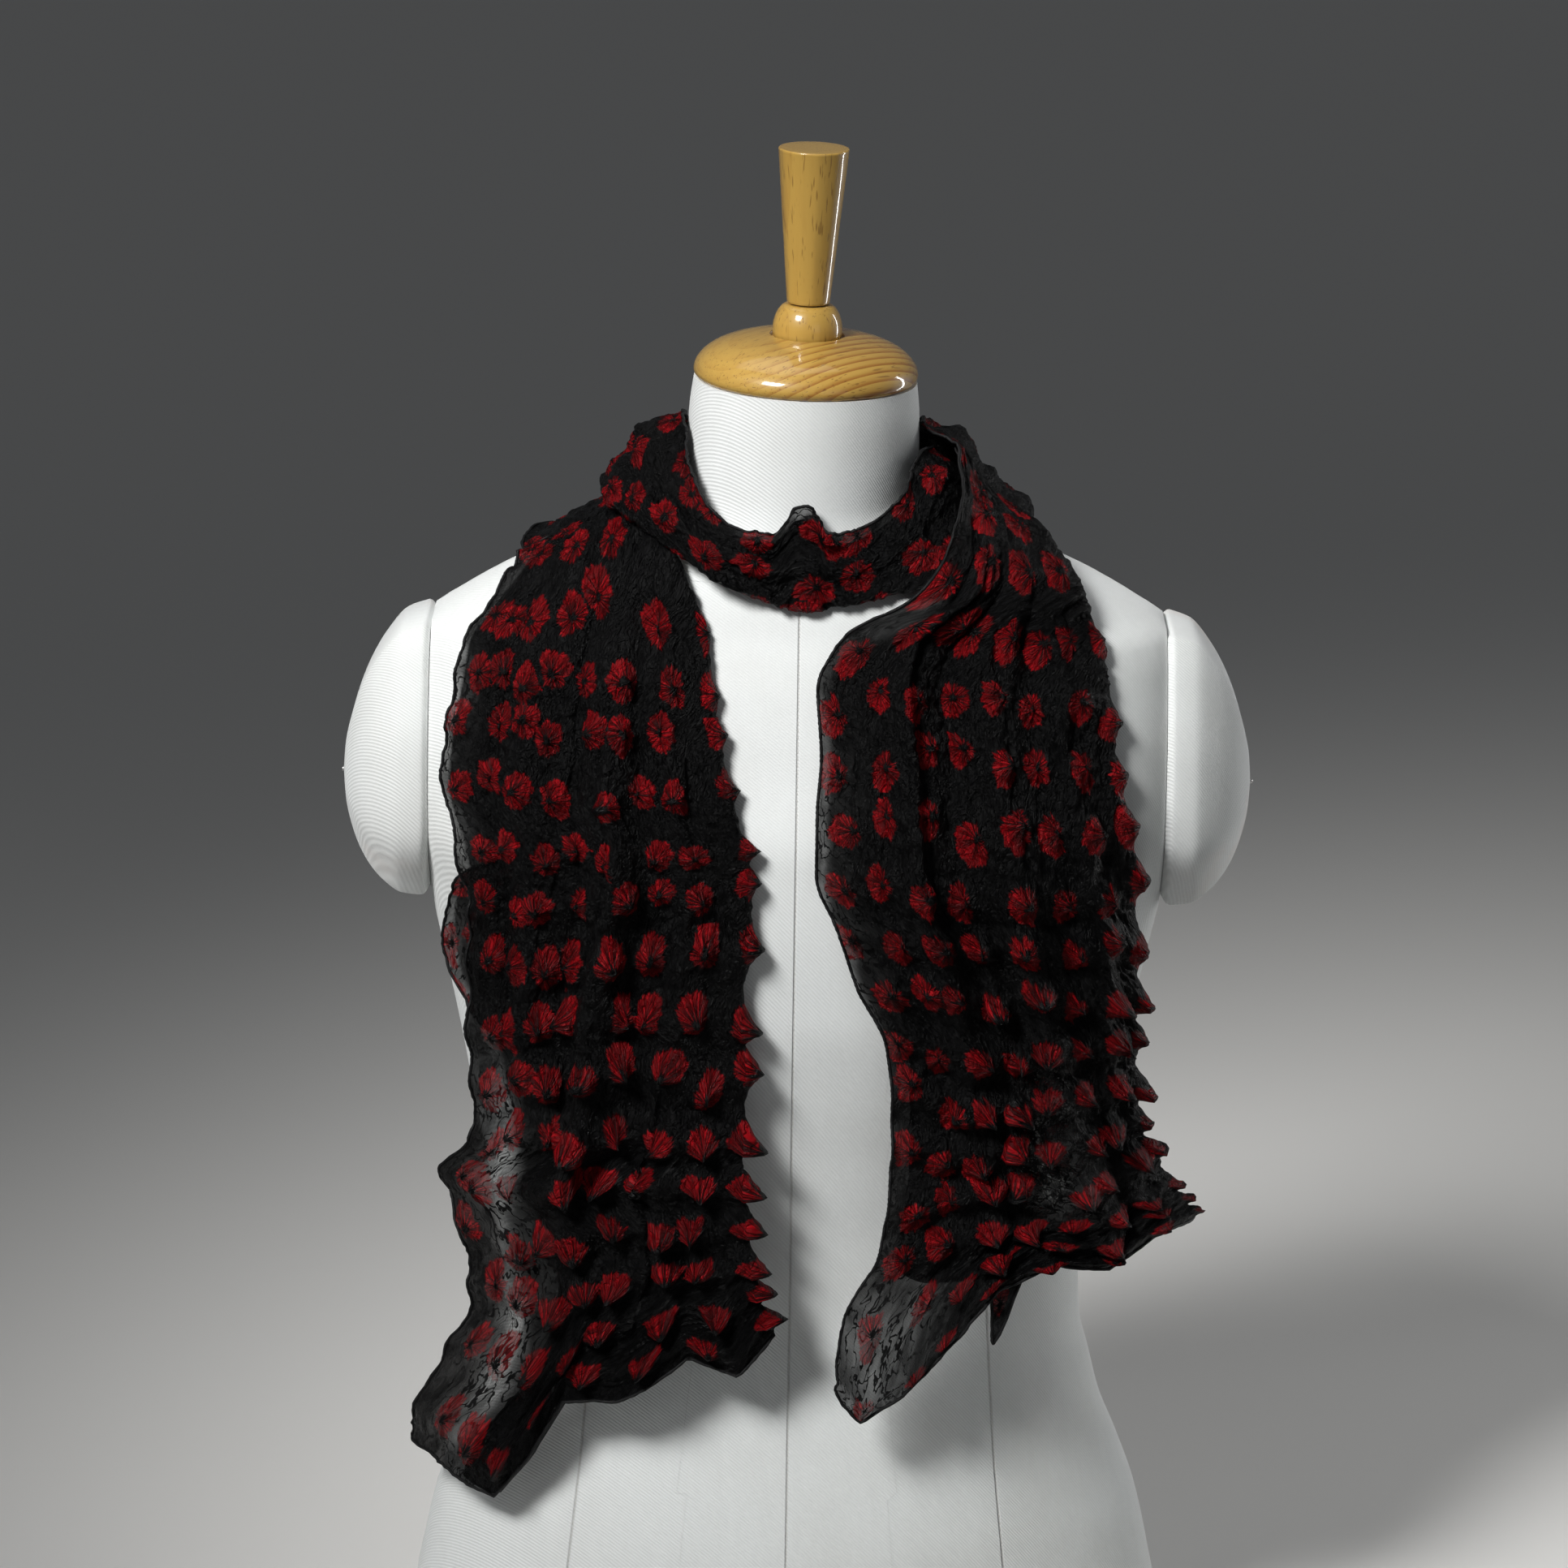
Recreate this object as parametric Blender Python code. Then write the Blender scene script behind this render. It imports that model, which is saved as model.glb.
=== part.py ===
"""A crinkled tie-dyed stole wrapped once around the neck of a limbless dress form.

All lengths in the tables are millimetres and all angles are degrees.  The frame has +X to the
right of someone facing the form, the chest towards -Y and +Z up, with the base on z = 0.
An angle of 0 points to the chest, +90 to +X, 180 to the back and -90 to -X.
"""
import math

import bpy
import bmesh
import numpy as np

MM = 0.001
BACK_SHIFT = 5.5            # the object's box is centred, so the form's own axis is this far back

# ---- dress form ------------------------------------------------------------------------------
NECK_TOP = 680.0            # height of the neck's flat top, under the wooden cap
LEAN = 1.3                  # degrees by which the neck and the wood on it lean, towards +X
LEAN_FROM = 620.0           # height where that lean begins
ARMHOLE_HALF_WIDTH = 183.0  # the flat armhole faces stand this far out from the middle
ARMHOLE_LOW = 424.0
ARMHOLE_HIGH = 555.0
ARMHOLE_EDGE_DEPTH = 16.0   # the least depth of a torso side, above and below the armhole
ARM_PAD_GAP = 0.3
ARM_PAD_REACH = 45.5        # how far a shoulder pad bulges out from its armhole
ARM_PAD_STEPS = 12          # points down each half of a pad's outline
FORM_SIDE_STEPS = 4         # faces of the torso across each armhole, and across chest and back
FORM_FACE_STEPS = 18
FORM_RING_HEIGHTS = (
    0, 10, 30, 60, 90, 120, 150, 180, 215, 255, 300, 345, 385, 410, 424, 440, 470, 500, 525, 543,
    555, 561, 566, 572, 577, 583, 588, 593, 598, 603, 607, 611, 615, 620, 627, 640, 660,
    NECK_TOP,
)

# height, half width, depth in front, depth behind, squareness of the section
FORM_SECTIONS = np.array((
    (0, 188, 105, 116, 2.2),
    (10, 194, 111, 122, 2.2),
    (30, 194, 112, 123, 2.2),
    (60, 189, 111, 122, 2.2),
    (90, 182, 108, 119, 2.2),
    (115, 173, 104, 114, 2.2),
    (142, 162, 99, 107, 2.2),
    (165, 156, 95, 101, 2.2),
    (190, 150, 90, 94, 2.2),
    (215, 149, 87, 88, 2.2),
    (250, 153, 88, 85, 2.2),
    (294, 161, 94, 85, 2.2),
    (340, 169, 103, 88, 2.25),
    (380, 177, 110, 92, 2.3),
    (430, 188, 113, 98, 2.4),
    (460, 196, 112, 100, 2.5),
    (500, 199, 101, 99, 2.5),
    (540, 193, 89, 95, 2.4),
    (556, 187, 82, 90, 2.35),
    (566, 173, 77, 86, 2.3),
    (577, 155, 73, 81, 2.25),
    (588, 133, 69, 76, 2.15),
    (598, 106, 65, 71, 2.1),
    (607, 80, 62, 67, 2.05),
    (615, 64, 60, 64, 2.0),
    (625, 58.5, 58.5, 61, 2.0),
    (645, 57.8, 57.5, 59, 2.0),
    (665, 57, 56.5, 58, 2.0),
    (NECK_TOP, 55.3, 55, 56.5, 2.0),
), float)

# outward distance from the armhole, size of the ring against the armhole's outline, drop
ARM_PAD_RINGS = np.array((
    (0.0, 1.00, 0.0),
    (4.0, 1.05, -1.5),
    (14.0, 1.02, -3.0),
    (25.0, 0.88, -6.0),
    (34.0, 0.68, -9.0),
    (40.0, 0.46, -11.5),
    (44.0, 0.22, -13.5),
), float)

# turned wood: radius, height
CAP_PROFILE = (
    (53.3, 680.3), (54.9, 681.3), (55.7, 683.6), (55.0, 686.8), (52.5, 690.6), (47.9, 694.5),
    (41.0, 697.8), (31.0, 700.5), (18.6, 702.0), (17.9, 700.4),
)
BEAD_PROFILE = (
    (16.5, 700.7), (17.1, 702.2), (17.3, 704.6), (17.2, 707.0), (16.4, 710.6), (14.7, 714.3),
    (12.6, 716.6), (10.4, 717.4),
)
HANDLE_PROFILE = ((10.3, 718.0), (10.8, 719.0), (17.6, 794.2), (17.4, 795.0))
CAP_SIDES = 36
HANDLE_SIDES = 24

# ---- how the cloth lies ----------------------------------------------------------------------
CLOTH = 1.5                 # wall of the cloth, crinkle included
UNDER_LAYER = 1.6           # middle of the folded-back layer, out from what it rests on
FRONT_LAYER = 6.2           # middle of the front layer
BEND = (FRONT_LAYER - UNDER_LAYER) / 2   # radius of the bend where the cloth folds back
BEND_MIDDLE = (FRONT_LAYER + UNDER_LAYER) / 2
BEND_TURNS = (50, 0, -50)   # points round that bend, from the front layer to the one behind
PASS_OVER = 7.4             # how much further out a stretch lies that crosses another one
HANG_HEIGHT = 430.0         # below the bust the cloth hangs straight down
FLOWER_COLUMNS = 7.5        # tied flowers across a folded tail, hem to fold
PEAK = 7.0                  # height of a tied peak
BAND_PEAK = 3.0             # the same where the cloth is pulled tight around the neck
PASS_FOLDS = 2.0            # folds along each pass around the neck
PASS_FOLD_DRIFT = 220.0     # degrees around the neck in which they drift by one fold
HUG_HEIGHT = 17.0           # the top of each pass leans in to the neck over this height
HUG_LIFT = -8.0             # the outward lift that is left at its top edge
RIGHT_TOP = 660.0           # height of the right tail's hem where it starts, beside the neck
SEAM_DEGREES = 0.25         # how far each pass around the neck stops short of its seams
BAND_UNCOVERED = 18.0       # angle where the front band comes out from under the right tail
HANGING_CORNER = 30.0       # how far the right tail's inner corner shows below its front layer
END_ROWS = 3.2              # rows over which a tail takes on the shape of its end hem
FIRST_PEAK = 1.5            # row below which a tail's peaks begin
FIRST_FOLD_PEAK = 5.5       # row from which peaks stand out along a tail's fold as well
BAND_ENDS = (560, 577)      # the right tail passes over the front band down to these heights

# the slope of cloth between shoulder and neck, columns as in FORM_SECTIONS
COLLAR_SECTIONS = np.array((
    (588, 138, 70.5, 80, 2.2),
    (597, 121, 67.5, 78.5, 2.1),
    (604, 107, 65.2, 77, 2.05),
    (612, 94, 63.0, 75.5, 2.0),
    (623, 82, 60.9, 73, 2.0),
    (635, 74, 59.6, 70, 2.0),
    (648, 67, 59.0, 66, 2.0),
    (661, 61.5, 58.5, 62, 2.0),
    (675, 58.5, 58.0, 59, 2.0),
), float)
DRAPE_SECTIONS = np.vstack((
    [row for row in FORM_SECTIONS if HANG_HEIGHT <= row[0] < COLLAR_SECTIONS[0, 0]],
    COLLAR_SECTIONS,
))

# flower row, hem angle, hem height, hem lift, fold angle, fold height, fold lift, inner hem:
# how far the folded-back layer's own hem stops short of the front hem
LEFT_TAIL = np.array((
    (0.0, -84, 589, 0, -84, 641, 0, 30),
    (1.0, -79, 581, 0, -62, 622, 0, 36),
    (2.0, -74.5, 563, 0, -35, 580, 0, 42),
    (3.0, -71.5, 540, 0, -26.5, 545, 1, 42),
    (4.0, -70, 513, 0, -21.5, 518, 2, 40),
    (5.0, -68.5, 486, 1, -17, 490, 2, 38),
    (6.0, -65, 463, 1.5, -12, 470, 2, 30),
    (7.0, -64.5, 438, 2, -11, 455, 2, -14),
    (8.0, -65, 406, 1.5, -11, 421, 2, -25),
    (9.0, -65.5, 372, 0, -12.5, 390, 2, -4),
    (10.0, -64.5, 343, 0, -11, 361, 2, 36),
    (11.0, -64.5, 310, 0, -11.5, 326, 2, 50),
    (12.0, -71.5, 281, 0, -11.5, 303, 2, 50),
    (13.0, -66, 251, 0, -10.5, 283, 2, 50),
    (14.0, -65, 220, 1, -9.5, 262, 2, 50),
    (15.0, -70, 186, 2, -8, 245, 2, 50),
    (16.0, -80, 143, 2, -5, 230, 4, 50),
    (16.6, -82, 126, 2, -3.0, 222, 5, 50),
), float)
# share of the way from hem to fold, how much lower the end hem hangs there
LEFT_END = np.array((
    (0.0, 0), (0.11, 8), (0.20, 24), (0.27, 34), (0.35, 18), (0.43, -9), (0.55, -2),
    (0.65, -8), (0.735, -14), (0.88, 10), (1.0, 0),
), float)
# flower column, share of the way from hem to fold
LEFT_SPREAD = np.array((
    (0, 0.0), (0.5, 0.10), (1.5, 0.20), (2.5, 0.30), (3.5, 0.43), (4.5, 0.57), (5.5, 0.71),
    (6.5, 0.85), (FLOWER_COLUMNS, 1.0),
), float)

RIGHT_TAIL = np.array((
    (0.0, 84, RIGHT_TOP, 0, 84, 602, 0, 14),
    (1.0, 64, 622, 0, 79, 595, 0, 14),
    (2.0, 47, 594, 0, 73, 577, 0, 18),
    (2.5, 34, 581, 0, 71, 568, 0, 22),
    (3.0, 16, 567, 1, 69, 557, 0, 26),
    (4.0, 6, 542, 2, 66.5, 532, 1, 30),
    (5.0, 6.7, 514, 2, 64.5, 506, 1, 32),
    (6.0, 5.3, 486, 2, 64.5, 476, 1, 32),
    (7.0, 5, 459, 2, 67, 443, 1, 32),
    (8.0, 10.4, 431, 2, 69, 408, 2, 28),
    (9.0, 15.3, 401, 2, 69, 383, 2, 20),
    (10.0, 21.7, 374, 2, 69, 359, 2, 12),
    (11.0, 23.4, 344, 2, 70, 338, 2, 10),
    (12.0, 23.6, 314, 2, 70.5, 318, 2, 10),
    (13.0, 22.8, 286, 2, 74, 297, 4, 10),
    (14.0, 20.9, 260, 2, 77, 279, 8, 10),
    (15.0, 13.5, 232, 4, 78, 269, 13, 70),
    (16.0, 11.6, 203, 8, 79, 262, 18, 112),
    (16.5, 11.6, 198, 10, 79, 259, 20, 116),
), float)
RIGHT_END = np.array((
    (0.0, 0), (0.085, 26), (0.20, 20), (0.38, 0), (0.476, -23), (0.61, -23), (0.73, -5),
    (0.84, -9), (1.0, 0),
), float)
RIGHT_SPREAD = np.array((
    (0, 0.0), (0.5, 0.08), (1.5, 0.22), (2.5, 0.34), (3.5, 0.47), (4.5, 0.61), (5.5, 0.75),
    (6.5, 0.88), (FLOWER_COLUMNS, 1.0),
), float)

# long folds down a tail: first row, column there, last row, column there, half width, height
LEFT_FOLDS = (
    (1.0, 5.4, 12.0, 3.4, 0.9, 9.0),
    (1.5, 6.6, 15.0, 5.6, 0.8, 5.0),
    (1.5, 3.0, 12.0, 1.4, 0.9, 5.0),
)
RIGHT_FOLDS = (
    (1.0, 2.2, 10.0, 2.1, 0.8, 6.0),
    (1.0, 4.0, 14.0, 5.0, 0.9, 6.0),
    (1.5, 5.6, 9.0, 6.4, 0.8, 4.0),
)

# around the neck: angle, top height, bottom height, outward lift, lift of the top edge,
# height of the long folds
UNDER_PASS = np.array((
    (-84, 641, 589, 0, 0, 0),
    (-110, 638, 590, 0, HUG_LIFT, 0),
    (-145, 634, 588, 0, HUG_LIFT, 0),
    (-180, 633, 586, 0, HUG_LIFT, 0),
    (-215, 634, 592, 0, HUG_LIFT, 0),
    (-250, 640, 600, 0, HUG_LIFT, 0),
    (-276, 648, 606, 0, HUG_LIFT, 0),
), float)
FRONT_BAND = np.array((
    (84, 648, 606, 0, HUG_LIFT, 0),
    (66, 650, 597, 0, HUG_LIFT, 0),
    (55, 643, 592, 0, HUG_LIFT, 0),
    (45, 631, 589, 0, -4, 0),
    (30, 620, 586, 0, -3, 0),
    (20, 616, 583, 0, -2, 2),
    (11, 619, 581, 0, -1, 4),
    (7, 628, 580, 0, -1, 4),
    (2, 630.5, 580, 0, -1, 4),
    (-3, 629, 580, 0, -1, 4),
    (-7, 622, 582, 0.5, -1, 4),
    (-13, 615.5, 584, 2, 0, 4),
    (-28, 618, 589, PASS_OVER, 1, 4),
    (-38, 624, 595, PASS_OVER, -1, 4),
    (-48, 634, 602, PASS_OVER, -4, 4),
    (-60, 646, 608, PASS_OVER, HUG_LIFT, 3),
    (-70, 657, 611, PASS_OVER, HUG_LIFT, 2),
), float)
OVER_PASS = np.array((
    (-70, 657, 611, PASS_OVER, HUG_LIFT, 2),
    (-84, 663, 613, PASS_OVER, HUG_LIFT, 1),
    (-95, 662, 613, PASS_OVER, HUG_LIFT, 2),
    (-120, 651, 610, PASS_OVER, HUG_LIFT, 5),
    (-150, 648, 604, PASS_OVER, HUG_LIFT, 6),
    (-180, 647, 600, PASS_OVER, HUG_LIFT, 6),
    (-210, 648, 600, PASS_OVER, HUG_LIFT, 6),
    (-240, 651, 602, PASS_OVER, HUG_LIFT, 4),
    (-262, 659, 603, PASS_OVER, HUG_LIFT, 2),
    (-276, RIGHT_TOP, 602, PASS_OVER, HUG_LIFT, 0),
), float)


def curve(at, known, values):
    """Read a table column smoothly, with no overshoot between its rows."""
    at = np.clip(np.asarray(at, float), known[0], known[-1])
    steps = np.diff(known)
    slopes = np.diff(values) / steps
    tangents = np.zeros(len(values))
    tangents[0] = slopes[0]
    tangents[-1] = slopes[-1]
    before, after = slopes[:-1], slopes[1:]
    same_way = before * after > 0
    tangents[1:-1][same_way] = (2 * before * after)[same_way] / (before + after)[same_way]
    k = np.clip(np.searchsorted(known, at, side="right") - 1, 0, len(steps) - 1)
    t = (at - known[k]) / steps[k]
    t2, t3 = t * t, t * t * t
    return ((2 * t3 - 3 * t2 + 1) * values[k] + (t3 - 2 * t2 + t) * steps[k] * tangents[k]
            + (3 * t2 - 2 * t3) * values[k + 1] + (t3 - t2) * steps[k] * tangents[k + 1])


def columns_at(table, at, keys=None):
    """Every column of a table after its first, read at the given places."""
    known = table[:, 0] if keys is None else keys
    return [curve(at, known, table[:, k]) for k in range(1, table.shape[1])]


def ease(value, low, high):
    """Rise smoothly from 0 at low to 1 at high."""
    t = np.clip((value - low) / (high - low), 0, 1)
    return t * t * (3 - 2 * t)


def section_radius(angle, width, front, back, squareness):
    """Distance from the middle to a section's outline, towards an angle in degrees."""
    turn = np.radians(angle)
    depth = np.where(np.cos(turn) > 0, front, back)
    across = (np.abs(np.sin(turn)) / width) ** squareness
    along = (np.abs(np.cos(turn)) / depth) ** squareness
    return (across + along) ** (-1 / squareness)


def polar(angle, radius, height):
    """Points in millimetres from an angle, a distance from the middle and a height."""
    turn = np.radians(angle)
    return np.stack((radius * np.sin(turn), -radius * np.cos(turn), height + 0 * turn), -1)


def drape(angle, height, lift):
    """Points on the surface that the cloth lies over, moved straight out of it by lift."""
    def surface(angle, height):
        return polar(angle, section_radius(angle, *columns_at(DRAPE_SECTIONS, height)), height)
    step_angle, step_height = 0.5, 1.0
    around = surface(angle + step_angle, height) - surface(angle - step_angle, height)
    upward = surface(angle, height + step_height) - surface(angle, height - step_height)
    out = np.cross(around, upward)
    out /= np.linalg.norm(out, axis=-1, keepdims=True)
    return surface(angle, height) + out * np.asarray(lift)[..., None]


def fold_heights(folds, row, column):
    """Height added to the front layer by a tail's long folds."""
    height = np.zeros_like(column + row)
    for first, start, last, end, half_width, top in folds:
        share = np.clip((row - first) / (last - first), 0, 1)
        middle = start + (end - start) * share
        ridge = np.clip(1 - np.abs(column - middle) / half_width, 0, 1)
        fade = ease(row, first, first + 3) * (1 - ease(row, last, last + 3))
        height = np.maximum(height, top * ease(ridge, 0, 1) * fade)
    return height


def tail_grid(table, spread, end_hem, folds, corner, pass_over, rows, columns, behind):
    """The middle of a tail's cloth, a row of points for each station from shoulder to end hem."""
    grid = []
    last_row = table[-1, 0]
    turns = np.radians(BEND_TURNS)
    for row in rows:
        hem_a, hem_z, hem_lift, fold_a, fold_z, fold_lift, inner_hem = columns_at(table, row)
        share = np.linspace(-0.35, 1.2, 156)
        near_end = ease(row, last_row - END_ROWS, last_row)
        drop = np.interp(share, end_hem[:, 0], end_hem[:, 1]) * near_end
        angle = hem_a + (fold_a - hem_a) * share
        height = hem_z + (fold_z - hem_z) * share - drop
        lies_on = drape(angle, height, 0 * share)
        length = np.concatenate(([0], np.cumsum(np.linalg.norm(np.diff(lies_on, axis=0), axis=1))))
        length -= np.interp(0, share, length)
        width = np.interp(1, share, length)
        front_at = np.interp(columns, spread[:, 0], spread[:, 1]) * (width - BEND)
        front_out = FRONT_LAYER + fold_heights(folds, row, columns)
        bend_at = width - BEND + BEND * np.cos(turns)
        bend_out = BEND_MIDDLE + BEND * np.sin(turns)
        behind_at = (width - BEND) * (1 - behind) + inner_hem * behind
        behind_out = np.full(len(behind), UNDER_LAYER)
        at = np.concatenate((front_at, bend_at, behind_at))
        out = np.concatenate((front_out, bend_out, behind_out))
        share_at = np.interp(at, length, share)
        across = np.clip(share_at, 0, 1)
        point_angle = hem_a + (fold_a - hem_a) * share_at
        point_height = np.interp(share_at, share, height)
        hangs = ease(behind, 0.8, 1) * ease(row, last_row - 1.1, last_row)
        point_height[-len(behind):] -= corner * hangs
        out = out + hem_lift * ease(1 - across, 0, 1) + fold_lift * ease(across, 0, 1)
        out = out + pass_over(point_angle, point_height)
        grid.append(drape(point_angle, point_height, out))
    return np.array(grid)


def under_the_wrap(angle, height):
    """The left tail starts under the front band and needs no lift of its own."""
    return 0 * angle


def leaning_in(height, top, lift, top_lift):
    """Lift of a stretch beside the neck, whose top leans in until its edge lies close."""
    return lift + (top_lift - lift) * ease(height, top - HUG_HEIGHT, top)


def over_the_band(angle, height):
    """The right tail leans in to the neck, crosses the front band and settles on the chest."""
    return leaning_in(height, RIGHT_TOP, PASS_OVER, HUG_LIFT) * ease(height, *BAND_ENDS)


def neck_grid(table, angles, stations, behind, fold_at_top):
    """The middle of the cloth of one pass around the neck, folded along its top or bottom."""
    keys = -table[:, 0]
    grid = []
    turns = np.radians(BEND_TURNS)
    for angle in angles:
        top, bottom, lift, top_lift, rise = columns_at(table, -angle, keys)
        hem, fold = (bottom, top) if fold_at_top else (top, bottom)
        share = np.linspace(-0.1, 1.1, 61)
        height = hem + (fold - hem) * share
        lies_on = drape(angle + 0 * share, height, 0 * share)
        length = np.concatenate(([0], np.cumsum(np.linalg.norm(np.diff(lies_on, axis=0), axis=1))))
        length -= np.interp(0, share, length)
        width = np.interp(1, share, length)
        wave = np.sin(2 * math.pi * (PASS_FOLDS * stations + angle / PASS_FOLD_DRIFT))
        front_out = FRONT_LAYER + rise * 0.6 * (1 + wave) * np.sin(math.pi * stations) ** 0.5
        at = np.concatenate((
            stations * (width - BEND),
            width - BEND + BEND * np.cos(turns),
            (width - BEND) * (1 - behind),
        ))
        out = np.concatenate((
            front_out,
            BEND_MIDDLE + BEND * np.sin(turns),
            np.full(len(behind), UNDER_LAYER),
        ))
        point_height = np.interp(at, length, height)
        out = out + leaning_in(point_height, top, lift, top_lift)
        grid.append(drape(angle + 0 * at, point_height, out))
    return np.array(grid)


def grid_normals(grid, seams):
    """Unit normals of a grid of points, pointing to the face side of the cloth.

    A row on a seam has an angle in seams, so that both stretches end in one plane there."""
    along = np.gradient(grid, axis=0)
    for row, angle, sense in seams:
        turn = math.radians(angle)
        along[row] = sense * np.array((math.cos(turn), math.sin(turn), 0.0))
    normals = np.cross(along, np.gradient(grid, axis=1))
    return normals / np.linalg.norm(normals, axis=-1, keepdims=True)


def mesh_object(name, points, faces, material):
    """Make a named object from points in millimetres and faces."""
    mesh = bpy.data.meshes.new(name)
    placed = (np.array(points) + (0, BACK_SHIFT, 0)) * MM
    mesh.from_pydata(placed.tolist(), [], faces)
    made = bmesh.new()
    made.from_mesh(mesh)
    bmesh.ops.remove_doubles(made, verts=made.verts, dist=0.00001)
    bmesh.ops.recalc_face_normals(made, faces=made.faces)
    made.to_mesh(mesh)
    made.free()
    mesh.materials.append(material)
    part = bpy.data.objects.new(name, mesh)
    bpy.context.scene.collection.objects.link(part)
    return part


def cloth_wall(name, grid, relief, seams, material):
    """Close a grid of mid-cloth points into a wall, with relief raised on its face side alone."""
    rows, columns = grid.shape[:2]
    normals = grid_normals(grid, seams)
    face_side = grid + normals * (CLOTH / 2 + relief)[..., None]
    plain_side = grid - normals * (CLOTH / 2)
    points = np.vstack((face_side.reshape(-1, 3), plain_side.reshape(-1, 3)))
    count = rows * columns

    def at(row, column, side):
        return side * count + row * columns + column

    faces = []
    for row in range(rows - 1):
        for column in range(columns - 1):
            a, b = at(row, column, 0), at(row, column + 1, 0)
            c, d = at(row + 1, column + 1, 0), at(row + 1, column, 0)
            meets_peak = (row + column) % 2
            halves = ((a, b, c), (a, c, d)) if meets_peak else ((a, b, d), (b, c, d))
            faces += halves
            faces += [tuple(point + count for point in reversed(half)) for half in halves]
    edge = [(0, column) for column in range(columns)]
    edge += [(row, columns - 1) for row in range(1, rows)]
    edge += [(rows - 1, column) for column in range(columns - 2, -1, -1)]
    edge += [(row, 0) for row in range(rows - 2, 0, -1)]
    for here, there in zip(edge, edge[1:] + edge[:1]):
        a, b = at(*here, 0), at(*there, 0)
        faces.append((b, a, a + count, b + count))
    return mesh_object(name, points, faces, material)


def lean_over(points):
    """Lean what stands above the root of the neck over towards +X."""
    tilt = math.radians(LEAN)
    for point in points:
        along, up = point[0], point[2] - LEAN_FROM
        if up > 0:
            point[0] = along * math.cos(tilt) + up * math.sin(tilt)
            point[2] = LEAN_FROM + up * math.cos(tilt) - along * math.sin(tilt)


def lathe(name, profile, sides, material):
    """Turn a profile of radii and heights into a closed solid with flat ends."""
    points = []
    for radius, height in profile:
        points += [polar(360 * side / sides, radius, height) for side in range(sides)]
    lean_over(points)
    faces = []
    for ring in range(len(profile) - 1):
        for side in range(sides):
            here, there = ring * sides + side, ring * sides + (side + 1) % sides
            faces.append((here, there, there + sides, here + sides))
    faces.append(tuple(range(sides)))
    faces.append(tuple(range(len(profile) * sides - sides, len(profile) * sides)))
    return mesh_object(name, points, faces, material)


def material(name, colour, roughness):
    """A plain material with one colour."""
    made = bpy.data.materials.new(name)
    made.use_nodes = True
    shader = made.node_tree.nodes["Principled BSDF"]
    shader.inputs["Base Color"].default_value = (*colour, 1.0)
    shader.inputs["Roughness"].default_value = roughness
    return made


def armhole_depths(height):
    """Depth of the armhole's flat face in front and behind, at each height."""
    width, front, back, squareness = columns_at(FORM_SECTIONS, height)
    part = np.clip(1 - (ARMHOLE_HALF_WIDTH / width) ** squareness, 0, 1) ** (1 / squareness)
    return front * part, back * part


def ring_angles(height):
    """Angles of one torso ring, with a corner at each edge of both armholes."""
    front, back = armhole_depths(height)
    front_corner = math.degrees(math.atan2(ARMHOLE_HALF_WIDTH, max(front, ARMHOLE_EDGE_DEPTH)))
    back_corner = 180 - math.degrees(math.atan2(ARMHOLE_HALF_WIDTH, max(back, ARMHOLE_EDGE_DEPTH)))
    corners = (-front_corner, front_corner, back_corner, 360 - back_corner, 360 - front_corner)
    steps = (FORM_FACE_STEPS, FORM_SIDE_STEPS, FORM_FACE_STEPS, FORM_SIDE_STEPS)
    spans = [np.linspace(a, b, n, endpoint=False) for a, b, n in zip(corners, corners[1:], steps)]
    return np.concatenate(spans)


def build_torso(canvas):
    """The torso, with a flat face at each armhole and a flat base."""
    points = []
    for height in FORM_RING_HEIGHTS:
        angles = ring_angles(height)
        ring = polar(angles, section_radius(angles, *columns_at(FORM_SECTIONS, height)), height)
        if height > ARMHOLE_LOW - 20:
            ring[:, 0] = np.clip(ring[:, 0], -ARMHOLE_HALF_WIDTH, ARMHOLE_HALF_WIDTH)
        points += list(ring)
    lean_over(points)
    sides = len(angles)
    faces = []
    for ring in range(len(FORM_RING_HEIGHTS) - 1):
        for side in range(sides):
            here = ring * sides + side
            there = ring * sides + (side + 1) % sides
            faces.append((here, there, there + sides, here + sides))
    faces.append(tuple(range(sides)))
    faces.append(tuple(range(len(points) - sides, len(points))))
    return mesh_object("form_torso", points, faces, canvas)


def build_arm_pad(name, side, canvas):
    """A domed pad that closes one armhole."""
    rise = np.cos(np.linspace(0, math.pi, ARM_PAD_STEPS + 1))
    heights = (ARMHOLE_HIGH + ARMHOLE_LOW) / 2 + rise * (ARMHOLE_HIGH - ARMHOLE_LOW) / 2
    front, back = armhole_depths(heights)
    outline = [(-front[k], heights[k]) for k in range(len(heights))]
    outline += [(back[k], heights[k]) for k in range(len(heights) - 2, 0, -1)]
    outline = np.array(outline)
    middle = np.array((0.0, (ARMHOLE_HIGH + ARMHOLE_LOW) / 2))
    start = ARMHOLE_HALF_WIDTH + ARM_PAD_GAP
    points = []
    for out, size, drop in ARM_PAD_RINGS:
        ring = middle + (outline - middle) * size + (0, drop)
        points += [(side * (start + out), depth, height) for depth, height in ring]
    tip_height = middle[1] + ARM_PAD_RINGS[-1, 2]
    points.append((side * (start + ARM_PAD_REACH), 0.0, tip_height))
    count = len(outline)
    faces = []
    for ring in range(len(ARM_PAD_RINGS) - 1):
        for k in range(count):
            here, there = ring * count + k, ring * count + (k + 1) % count
            faces.append((here, there, there + count, here + count))
    last = (len(ARM_PAD_RINGS) - 1) * count
    faces += [(last + k, last + (k + 1) % count, len(points) - 1) for k in range(count)]
    faces.append(tuple(range(count)))
    return mesh_object(name, points, faces, canvas)


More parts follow.
